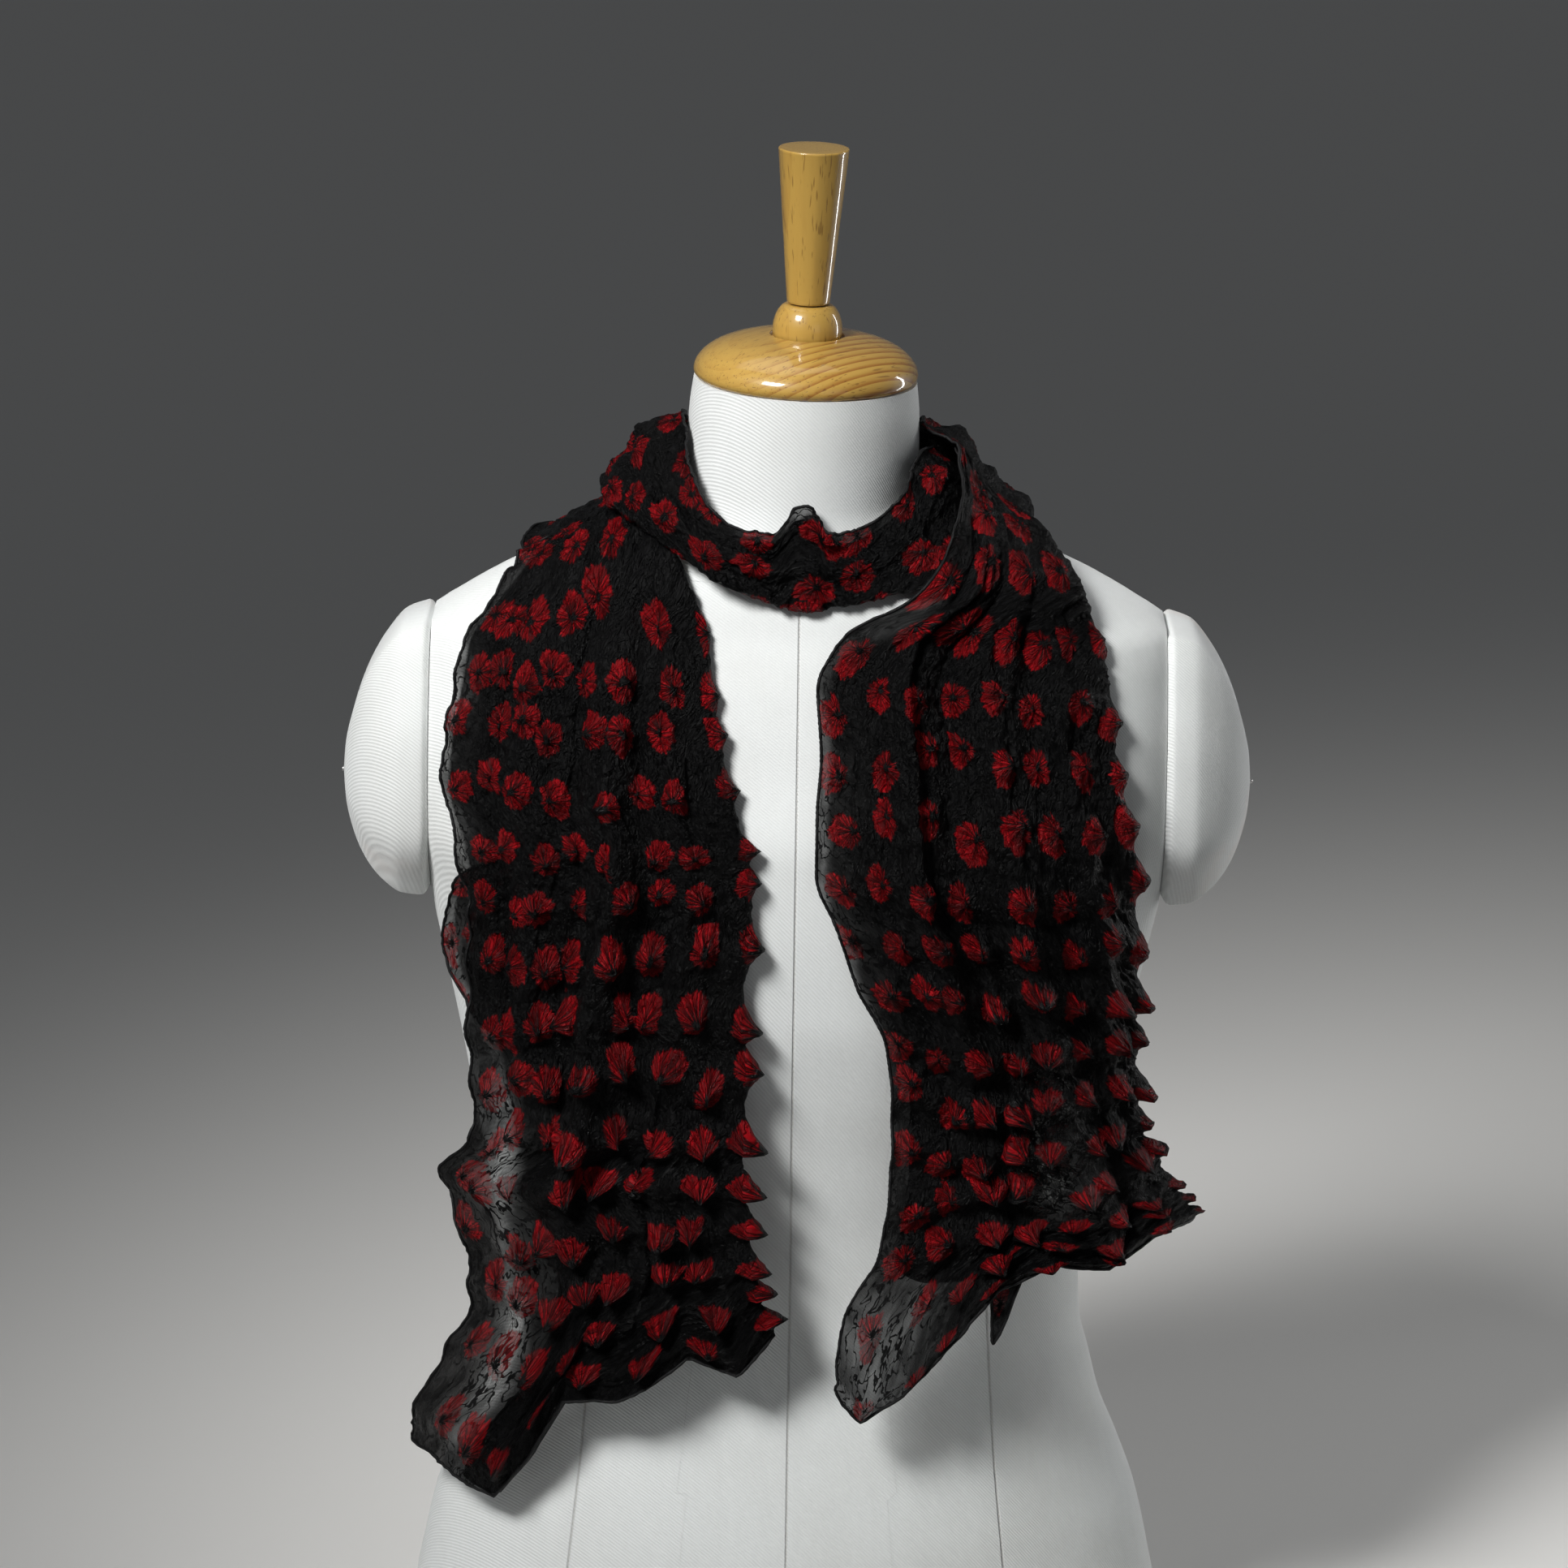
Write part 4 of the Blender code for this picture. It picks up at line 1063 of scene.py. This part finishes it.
# each kind of line drawn down the cloth: how far it sways in columns and how, and the rows
# around its first and its last over which it fades in and out
FOLD_LINE = ((0.0, 0.0, 0.0), (0.0, 3.0, 0.0, 3.0))
CREASE_LINE = ((0.10, 2.3, 5.0), (-0.2, 1.2, -1.2, 0.6))
LAP_LINE = ((0.07, 1.7, 3.0), (0.0, 1.5, -1.5, 0.0))


def drawn(lines, kind, row, column):
    """Each line drawn down the cloth: the way across to it, its fade, its reach and height."""
    (sway, pace, lag), (fade_in, full, fade_out, gone) = kind
    for first, start, last, end, reach, top in lines:
        share = np.clip((row - first) / (last - first), 0, 1)
        middle = start + (end - start) * share + sway * np.sin(pace * row + lag * start)
        fade = ease(row, first + fade_in, first + full)
        fade = fade * (1 - ease(row, last + fade_out, last + gone))
        yield column - middle, fade, reach, top


def fold_heights(folds, row, column):
    """Height added to the front layer by a tail's long folds."""
    height = np.zeros_like(column + row)
    for off, fade, half_width, top in drawn(folds, FOLD_LINE, row, column):
        ridge = np.clip(1 - np.abs(off) / half_width, 0, 1)
        height = np.maximum(height, top * ease(ridge, 0, 1) * fade)
    return height


def soft_creases(creases, row, column):
    """Smaller creases listed for a tail: troughs have a height below zero."""
    height = np.zeros_like(column + row)
    for off, fade, half_width, top in drawn(creases, CREASE_LINE, row, column):
        height = height + top * np.exp(-(off / half_width) ** 2) * fade
    return height


def laps(lines, row, column):
    """Lines where the cloth laps over itself: steep on one side, easing off on the other."""
    height = np.zeros_like(column + row)
    for off, fade, reach, top in drawn(lines, LAP_LINE, row, column):
        off = off * math.copysign(1, reach)
        lapped = ease(off, -0.02, 0.08) * (1 - ease(off, 0.15, abs(reach)))
        under = -0.45 * np.exp(-((off + 0.10) / 0.14) ** 2)
        height = height + top * (lapped + under) * fade
    return height


FRONT_STEPS = 176                   # faces across a tail's front layer, its bend and behind it
BEND_STEPS = 8
BEHIND_STEPS = 56
BEND_TURNS = np.radians(np.linspace(90, -90, BEND_STEPS + 1)[1:-1])
TAIL_ROW_STEP = 1.22                # mm between rows of a tail's mesh
TOP_ROW = 0.38                      # a last row of knots between the first and the shoulder
FAN_ROWS = (9.0, 12.5)              # rows over which the rings turn to fans over their tips
ROW_PULL = 0.19                     # how far a knot is out of line, in rows and in columns
COLUMN_PULL = 0.26
TIE_ROOM = 15.5                     # mm that each column of knots needs, or it is left out
PEAK_HEIGHT = 5.0                   # mm at the first peaks, and as much again at the full ones
PEAK_DROOP = (1.0, 6.5)             # mm that a peak's tip hangs down, and the fall's own share
BEHIND_PEAK = 0.18                  # share of a peak's height on the layer behind
ROW_RIDGE = 1.8                     # mm: the soft ridge along each row of knots
HEM_WAVE = 1.3                      # mm: how far the hem waves in and out


def measured(share, angle, height):
    """Distance across the cloth at each share of the way from its hem to its fold."""
    length = lengths_along(drape(angle, height, 0 * share))
    return length - np.interp(0, share, length)


def folded(width, front_at, front_out, behind_at):
    """A section of the doubled cloth: how far across each point lies, and how far out."""
    at = np.concatenate((front_at, width - BEND + BEND * np.cos(BEND_TURNS), behind_at))
    out = np.concatenate((front_out, BEND_MIDDLE + BEND * np.sin(BEND_TURNS),
                          np.full(len(behind_at), UNDER_LAYER)))
    return at, out


def tail_cloth(table, spread, end_hem, folds, creases, lap_lines, corner, pass_over, seed):
    """The lie of one hanging tail: points, rows, columns and mm across at each point."""
    last_row = table[-1, 0]
    rows = np.linspace(0, last_row, int(last_row * TIE_PITCH / TAIL_ROW_STEP) + 1)
    bend_width = BEND * math.pi / 2 / TIE_PITCH
    front = np.linspace(0, FOLD_COLUMN - bend_width, FRONT_STEPS + 1)
    bend = FOLD_COLUMN - bend_width * BEND_TURNS / (math.pi / 2)
    behind = np.linspace(0, 1, BEHIND_STEPS + 1) ** 0.8
    columns = np.concatenate((front, bend, FOLD_COLUMN + bend_width + 7.0 * behind))
    share = np.linspace(-0.35, 1.2, 156)
    grid = []
    across = []
    for row in rows:
        hem_a, hem_z, hem_lift, fold_a, fold_z, fold_lift, inner_hem = columns_at(table, row)
        near_end = ease(row, last_row - END_ROWS, last_row)
        flutter = 4.0 * soft_noise(share * 8, 0 * share, seed) * near_end
        drop = (np.interp(share, end_hem[:, 0], end_hem[:, 1]) + flutter) * near_end
        height = hem_z + (fold_z - hem_z) * share - drop
        length = measured(share, hem_a + (fold_a - hem_a) * share, height)
        width = np.interp(1, share, length)
        front_at = np.interp(front, spread[:, 0], spread[:, 1]) * (width - BEND)
        front_out = FRONT_LAYER + fold_heights(folds, row, front)
        front_out = front_out + soft_creases(creases, row, front)
        front_out = np.maximum(front_out + laps(lap_lines, row, front), UNDER_LAYER + 1.0)
        behind_at = (width - BEND) * (1 - behind) + inner_hem * behind
        at, out = folded(width, front_at, front_out, behind_at)
        share_at = np.interp(at, length, share)
        over = np.clip(share_at, 0, 1)
        point_angle = hem_a + (fold_a - hem_a) * share_at
        point_height = np.interp(share_at, share, height)
        hangs = ease(behind, 0.86, 1) * ease(row, last_row - 1.1, last_row)
        point_height[-len(behind):] -= corner * hangs
        out = out + hem_lift * ease(1 - over, 0, 1) + fold_lift * ease(over, 0, 1)
        out = out + pass_over(point_height)
        line = drape(point_angle, point_height, out)
        grid.append(line)
        across.append(lengths_along(line))
    return np.array(grid), rows, columns, np.array(across)


def hung_tail(name, node, seam_angle, cloth, seed, first_peaks, full_peaks, lean, thin_places):
    """Finish one hanging tail from its lie, with its knots, creases and hem."""
    grid, rows, columns, across = cloth
    whole_rows = np.arange(1, math.floor(rows[-1]) + 1)
    tie_columns = np.arange(0.5, 15, 1.0)
    ties = np.vstack((
        tie_places(whole_rows, tie_columns, seed, ROW_PULL, COLUMN_PULL, lean, FAN_ROWS),
        tie_places((TOP_ROW,), tie_columns, seed + 60, 0.05, COLUMN_PULL, lean, FAN_ROWS),
    ))
    wide = np.interp(ties[:, 0], rows, across[:, FRONT_STEPS]) / FOLD_COLUMN
    keep = (np.floor(ties[:, 1]) + np.round(ties[:, 0])) % np.ceil(TIE_ROOM / wide) == 0
    ties = ties[keep | (ties[:, 1] > FOLD_COLUMN + 1)]
    row, column = rows[:, None], columns[None, :]
    full_grown = ease(worn_in(row, column), *full_peaks)
    grown = ease(row, *first_peaks) * PEAK_HEIGHT + full_grown * PEAK_HEIGHT
    on_front = 1 - ease(column, FOLD_COLUMN + 0.3, FOLD_COLUMN + 0.9)
    shown_behind = ease(column, FOLD_COLUMN + 5.0, FOLD_COLUMN + 6.5)
    peak = grown * (on_front + BEHIND_PEAK * shown_behind)
    droop = (PEAK_DROOP[0] + PEAK_DROOP[1] * full_grown) * on_front * ease(row, 1, 3)
    down = row * TIE_PITCH + 0 * column
    wrinkle = crinkle(across, down, seed + 10) * (0.25 + 0.75 * on_front + 0.5 * shown_behind)
    ridge = np.cos(2 * math.pi * (row - row_sag(row, column, seed)))
    ridge = ROW_RIDGE * ridge * ease(row, full_peaks[0], full_peaks[1] + 1) * on_front
    hem_wave = np.exp(-column / 0.35) * HEM_WAVE * np.sin(down / 5.2 + 2 * np.sin(down / 17))
    wrinkle = (wrinkle + ridge + hem_wave) * ease(row, 0, 0.25)
    thin = soft_creases(thin_places, row, column)
    sheet, points = silk_sheet(name, node, grid, rows, columns, across, ties, peak, droop,
                               wrinkle, thin, [(0, seam_angle, -math.copysign(1, seam_angle))])
    hem = rolled_hem(name + "_hem", (points[2:, 0], points[-1, ::2], points[2:, -1]))
    return sheet, hem


# ---- The left tail ---------------------------------------------------------------------------
# The end that was laid on first: it starts under the wrap at the left shoulder and hangs past
# the waist, folded double, its fold towards the middle and its hems to the outside.

# flower row, hem angle, hem height, hem lift, fold angle, fold height, fold lift, inner hem:
# how far the folded-back layer's own hem stops short of the front hem
LEFT_TAIL = np.array((
    (0.0, -84, 589, 0, -84, 641, 0, 30),
    (1.0, -79, 581, 0, -62, 622, 0, 36),
    (2.0, -74.5, 563, 0, -35, 580, 0, 42),
    (3.0, -71.5, 540, 0, -26.5, 545, 1, 42),
    (4.0, -70, 513, 0, -21.5, 518, 2, 40),
    (5.0, -68.5, 486, 1, -17, 490, 2, 38),
    (6.0, -65, 463, 1.5, -12, 470, 2, 30),
    (7.0, -64.5, 438, 2, -11, 455, 2, -14),
    (8.0, -65, 406, 1.5, -11, 421, 2, -25),
    (9.0, -65.5, 372, 0, -12.5, 390, 2, -4),
    (10.0, -64.5, 343, 0, -11, 361, 2, 36),
    (11.0, -64.5, 310, 0, -11.5, 326, 2, 50),
    (12.0, -71.5, 281, 0, -11.5, 303, 2, 50),
    (13.0, -66, 251, 0, -10.5, 283, 2, 50),
    (14.0, -65, 220, 1, -9.5, 262, 2, 50),
    (15.0, -70, 186, 2, -8, 245, 2, 50),
    (16.0, -80, 143, 2, -5, 230, 4, 50),
    (16.6, -82, 126, 2, -3.0, 222, 5, 50),
), float)
# share of the way from hem to fold, how much lower the end hem hangs there
LEFT_END = np.array((
    (0.0, 0), (0.11, 8), (0.20, 24), (0.27, 34), (0.35, 18), (0.43, -9), (0.55, -2),
    (0.65, -8), (0.735, -14), (0.88, 10), (1.0, 0),
), float)
# flower column, share of the way from hem to fold
LEFT_SPREAD = np.array((
    (0, 0.0), (0.5, 0.10), (1.5, 0.20), (2.5, 0.30), (3.5, 0.43), (4.5, 0.57), (5.5, 0.71),
    (6.5, 0.85), (FOLD_COLUMN, 1.0),
), float)
# long folds: first row, column there, last row, column there, half width, height
LEFT_FOLDS = (
    (1.0, 5.4, 12.0, 3.4, 0.9, 9.0),
    (1.5, 6.6, 15.0, 5.6, 0.8, 5.0),
    (1.5, 3.0, 12.0, 1.4, 0.9, 5.0),
)
# lines where it laps: first row, column, last row, column, how far it eases off, height
LEFT_LAPS = (
    (2.6, 5.3, 12.5, 2.8, 1.7, 5.5),
    (1.2, 6.7, 6.5, 5.9, 1.0, 3.0),
    (9.5, 5.6, 16.0, 4.9, -1.2, 3.0),
)
LEFT_CREASES = (
    (1.0, 4.6, 11.5, 2.6, 0.22, -3.6),
    (1.5, 6.0, 9.5, 4.6, 0.20, -2.6),
    (0.8, 2.2, 7.5, 0.9, 0.22, -2.0),
    (1.6, 7.0, 8.0, 6.3, 0.20, -2.0),
    (6.0, 1.2, 15.5, 0.8, 0.25, -1.8),
    (8.5, 5.2, 16.0, 4.6, 0.26, -2.2),
    (11.0, 2.4, 16.4, 2.0, 0.24, -2.4),
    (12.0, 6.6, 16.4, 6.2, 0.24, 2.0),
)
# where the crepe is stretched thin: first row, column, last row, column, half width, share
LEFT_THIN = (
    (9.5, 1.0, 13.5, 1.9, 0.70, 1.0),
    (13.0, 1.7, 18.0, 1.9, 0.75, 1.1),
    (2.0, 0.0, 7.0, 0.0, 0.45, 0.6),
    (5.5, 1.2, 9.5, 1.0, 0.60, 0.35),
    (6.5, 14.2, 9.3, 14.2, 0.60, 0.7),
)


def lies_lowest(height):
    """The left tail starts under the front band and needs no lift of its own."""
    return 0 * height


left_cloth = tail_cloth(LEFT_TAIL, LEFT_SPREAD, LEFT_END, LEFT_FOLDS, LEFT_CREASES, LEFT_LAPS,
                        0.0, lies_lowest, 44)
left_tail, left_hem = hung_tail("stole_tail_left", "stole_left_tail", LEFT_TAIL[0, 1],
                                left_cloth, 3, (0.5, 4.0), (6.0, 11.0), (0.5, -1.0), LEFT_THIN)


# ---- The right tail --------------------------------------------------------------------------
# The end that was thrown over last: it crosses the start of the front band and hangs to the
# waist, its hems towards the middle and its fold to the outside, with one corner left lower.
RIGHT_TAIL = np.array((
    (0.0, 84, RIGHT_TOP, 0, 84, 602, 0, 14),
    (1.0, 64, 622, 0, 79, 595, 0, 14),
    (2.0, 47, 594, 0, 73, 577, 0, 18),
    (2.5, 34, 581, 0, 71, 568, 0, 22),
    (3.0, 16, 567, 1, 69, 557, 0, 26),
    (4.0, 6, 542, 2, 66.5, 532, 1, 30),
    (5.0, 6.7, 514, 2, 64.5, 506, 1, 32),
    (6.0, 5.3, 486, 2, 64.5, 476, 1, 32),
    (7.0, 5, 459, 2, 67, 443, 1, 32),
    (8.0, 10.4, 431, 2, 69, 408, 2, 28),
    (9.0, 15.3, 401, 2, 69, 383, 2, 20),
    (10.0, 21.7, 374, 2, 69, 359, 2, 12),
    (11.0, 23.4, 344, 2, 70, 338, 2, 10),
    (12.0, 23.6, 314, 2, 70.5, 318, 2, 10),
    (13.0, 22.8, 286, 2, 74, 297, 4, 10),
    (14.0, 20.9, 260, 2, 77, 279, 8, 10),
    (15.0, 13.5, 232, 4, 78, 269, 13, 70),
    (16.0, 11.6, 203, 8, 79, 262, 18, 112),
    (16.5, 11.6, 198, 10, 79, 259, 20, 116),
), float)
RIGHT_END = np.array((
    (0.0, 0), (0.085, 26), (0.20, 20), (0.38, 0), (0.476, -23), (0.61, -23), (0.73, -5),
    (0.84, -9), (1.0, 0),
), float)
RIGHT_SPREAD = np.array((
    (0, 0.0), (0.5, 0.08), (1.5, 0.22), (2.5, 0.34), (3.5, 0.47), (4.5, 0.61), (5.5, 0.75),
    (6.5, 0.88), (FOLD_COLUMN, 1.0),
), float)
RIGHT_FOLDS = (
    (1.0, 2.2, 10.0, 2.1, 0.8, 6.0),
    (1.0, 4.0, 14.0, 5.0, 0.9, 6.0),
    (1.5, 5.6, 9.0, 6.4, 0.8, 4.0),
)
RIGHT_LAPS = (
    (1.2, 2.0, 9.0, 2.7, -1.5, 4.5),
    (2.0, 4.3, 7.5, 5.0, 1.2, 3.0),
    (9.5, 3.4, 16.0, 3.0, 1.2, 3.0),
)
RIGHT_CREASES = (
    (1.0, 1.4, 8.0, 1.4, 0.20, -2.6),
    (1.2, 3.1, 10.0, 3.3, 0.22, -3.0),
    (1.6, 4.9, 8.0, 5.7, 0.20, -2.2),
    (2.0, 6.4, 12.0, 6.9, 0.20, -1.8),
    (7.0, 3.9, 15.0, 3.4, 0.26, -2.2),
    (9.0, 1.3, 15.5, 1.6, 0.24, -1.8),
    (11.5, 6.0, 16.2, 5.7, 0.26, -2.4),
    (12.5, 4.6, 16.2, 4.3, 0.26, 2.0),
)
RIGHT_THIN = (
    (3.6, 0.2, 9.5, 0.2, 0.60, 0.45),
    (14.0, 0.6, 18.0, 0.6, 1.10, 0.50),
    (9.5, 4.2, 14.0, 4.1, 0.60, 2.0),
    (9.5, 10.6, 14.0, 10.6, 1.00, 2.0),
)
HANGING_CORNER = 30.0


def over_the_band(height):
    """The right tail leans in to the neck, crosses the front band and settles on the chest."""
    return leaning_in(height, RIGHT_TOP, PASS_OVER, HUG_LIFT) * ease(height, *BAND_ENDS)


right_cloth = tail_cloth(RIGHT_TAIL, RIGHT_SPREAD, RIGHT_END, RIGHT_FOLDS, RIGHT_CREASES,
                         RIGHT_LAPS, HANGING_CORNER, over_the_band, 45)
right_tail, right_hem = hung_tail("stole_tail_right", "stole_right_tail", RIGHT_TAIL[0, 1],
                                  right_cloth, 8, (0.5, 4.0), (5.0, 10.0), (-2.6, 2.2), RIGHT_THIN)


# ---- The passes around the neck --------------------------------------------------------------
# Between its two ends the cloth goes behind the neck, across the throat from right to left,
# and behind the neck again, pulled into a narrow crumpled band that is still folded double.
PASS_FOLDS = 2.0                    # long folds across a pass
PASS_FOLD_DRIFT = 220.0             # degrees around the neck in which one fold crosses it
# angle, top height, bottom height, outward lift, lift of the top edge, height of the folds
UNDER_PASS = np.array((
    (-84, 641, 589, 0, 0, 0),
    (-110, 638, 590, 0, HUG_LIFT, 0),
    (-145, 634, 588, 0, HUG_LIFT, 0),
    (-180, 633, 586, 0, HUG_LIFT, 0),
    (-215, 634, 592, 0, HUG_LIFT, 0),
    (-250, 640, 600, 0, HUG_LIFT, 0),
    (-276, 648, 606, 0, HUG_LIFT, 0),
), float)
FRONT_BAND = np.array((
    (84, 648, 606, 0, HUG_LIFT, 0),
    (66, 650, 597, 0, HUG_LIFT, 0),
    (55, 643, 592, 0, HUG_LIFT, 0),
    (45, 631, 589, 0, -4, 0),
    (30, 620, 586, 0, -3, 0),
    (20, 616, 583, 0, -2, 2),
    (11, 619, 581, 0, -1, 4),
    (7, 628, 580, 0, -1, 4),
    (2, 630.5, 580, 0, -1, 4),
    (-3, 629, 580, 0, -1, 4),
    (-7, 622, 582, 0.5, -1, 4),
    (-13, 615.5, 584, 2, 0, 4),
    (-28, 618, 589, PASS_OVER, 1, 4),
    (-38, 624, 595, PASS_OVER, -1, 4),
    (-48, 634, 602, PASS_OVER, -4, 4),
    (-60, 646, 608, PASS_OVER, HUG_LIFT, 3),
    (-70, 657, 611, PASS_OVER, HUG_LIFT, 2),
), float)
OVER_PASS = np.array((
    (-70, 657, 611, PASS_OVER, HUG_LIFT, 2),
    (-84, 663, 613, PASS_OVER, HUG_LIFT, 1),
    (-95, 662, 613, PASS_OVER, HUG_LIFT, 2),
    (-120, 651, 610, PASS_OVER, HUG_LIFT, 5),
    (-150, 648, 604, PASS_OVER, HUG_LIFT, 6),
    (-180, 647, 600, PASS_OVER, HUG_LIFT, 6),
    (-210, 648, 600, PASS_OVER, HUG_LIFT, 6),
    (-240, 651, 602, PASS_OVER, HUG_LIFT, 4),
    (-262, 659, 603, PASS_OVER, HUG_LIFT, 2),
    (-276, RIGHT_TOP, 602, PASS_OVER, HUG_LIFT, 0),
), float)
PASS_FRONT_STEPS = 52
PASS_BEHIND_STEPS = 10
PASS_STEP = 1.2                     # mm along a pass between sections of its mesh
PASS_TIE_ROWS = 0.92                # rows and columns of the flattened knots on a pass
PASS_TIE_COLUMNS = (0.25, 1.1, 1.95)
PASS_PEAK = 2.4


def neck_pass(name, node, table, fold_at_top, seed, crumple, sheer_at):
    """One pass around the neck: its lie, its flattened knots and its hem."""
    keys = -table[:, 0]
    run = abs(table[-1, 0] - table[0, 0])
    angles = np.linspace(table[0, 0], table[-1, 0], int(run * 1.5 / PASS_STEP) + 1)
    stations = np.linspace(0, 1, PASS_FRONT_STEPS + 1)
    behind = np.linspace(0, 0.85, PASS_BEHIND_STEPS + 1)
    share = np.linspace(-0.1, 1.1, 61)
    grid = []
    across = []
    for angle in angles:
        top, bottom, lift, top_lift, rise = columns_at(table, -angle, keys)
        hem, fold = (bottom, top) if fold_at_top else (top, bottom)
        height = hem + (fold - hem) * share
        length = measured(share, angle + 0 * share, height)
        width = np.interp(1, share, length)
        wave = np.sin(2 * math.pi * (PASS_FOLDS * stations + angle / PASS_FOLD_DRIFT))
        front_out = FRONT_LAYER + rise * 0.6 * (1 + wave) * np.sin(math.pi * stations) ** 0.5
        at, out = folded(width, stations * (width - BEND), front_out,
                         (width - BEND) * (1 - behind))
        point_height = np.interp(at, length, height)
        out = out + leaning_in(point_height, top, lift, top_lift)
        line = drape(angle + 0 * at, point_height, out)
        grid.append(line)
        across.append(lengths_along(line))
    grid = np.array(grid)
    across = np.array(across)
    down = lengths_along(grid[:, PASS_FRONT_STEPS // 2])
    rows = down / TIE_PITCH
    columns = across.mean(axis=0) / TIE_PITCH
    ties = tie_places(np.arange(0.45, rows[-1] - 0.3, PASS_TIE_ROWS), PASS_TIE_COLUMNS, seed,
                      0.22, 0.2, (0.0, 0.0), (90, 91))
    on_front = 1 - ease(columns, columns[PASS_FRONT_STEPS], columns[PASS_FRONT_STEPS] + 0.3)
    run_down = down[:, None] + 0 * across
    wrinkle = crinkle(run_down * 0.55, across * 2.0, seed + 10, 2.2) * (0.3 + 0.7 * on_front)
    pulled = soft_noise(across / 5.5, run_down / 26, seed + 20) * 1.5
    pulled = pulled + soft_noise(across / 10 + run_down / 60, run_down / 40, seed + 21) * 1.6
    wrinkle = wrinkle + crumple * pulled * on_front
    ends = ease(down, 0, 6) * ease(-down, -down[-1], -down[-1] + 6)
    wrinkle = wrinkle * ends[:, None]
    thin = np.exp(-((angles[:, None] - sheer_at) / 6) ** 2 - (across / 9) ** 2)
    seams = [(0, table[0, 0], -1), (-1, table[-1, 0], -1)]
    sheet, points = silk_sheet(name, node, grid, rows, columns, across, ties,
                               PASS_PEAK * on_front[None, :], 0.0, wrinkle, thin, seams)
    hem = rolled_hem(name + "_hem", (points[:, 0],))
    return sheet, hem, down[-1] * MM


for name, node, table, fold_at_top, seed, crumple, sheer_at, rests_on in (
    ("stole_pass_under", "stole_under_pass", UNDER_PASS, True, 21, 0.4, -180, "torso_cover"),
    ("stole_band_front", "stole_front_band", FRONT_BAND, False, 22, 1.0, 2, "torso_cover"),
    ("stole_pass_over", "stole_over_pass", OVER_PASS, False, 23, 1.0, -230, "stole_pass_under"),
):
    sheet, hem, run_length = neck_pass(name, node, table, fold_at_top, seed, crumple, sheer_at)
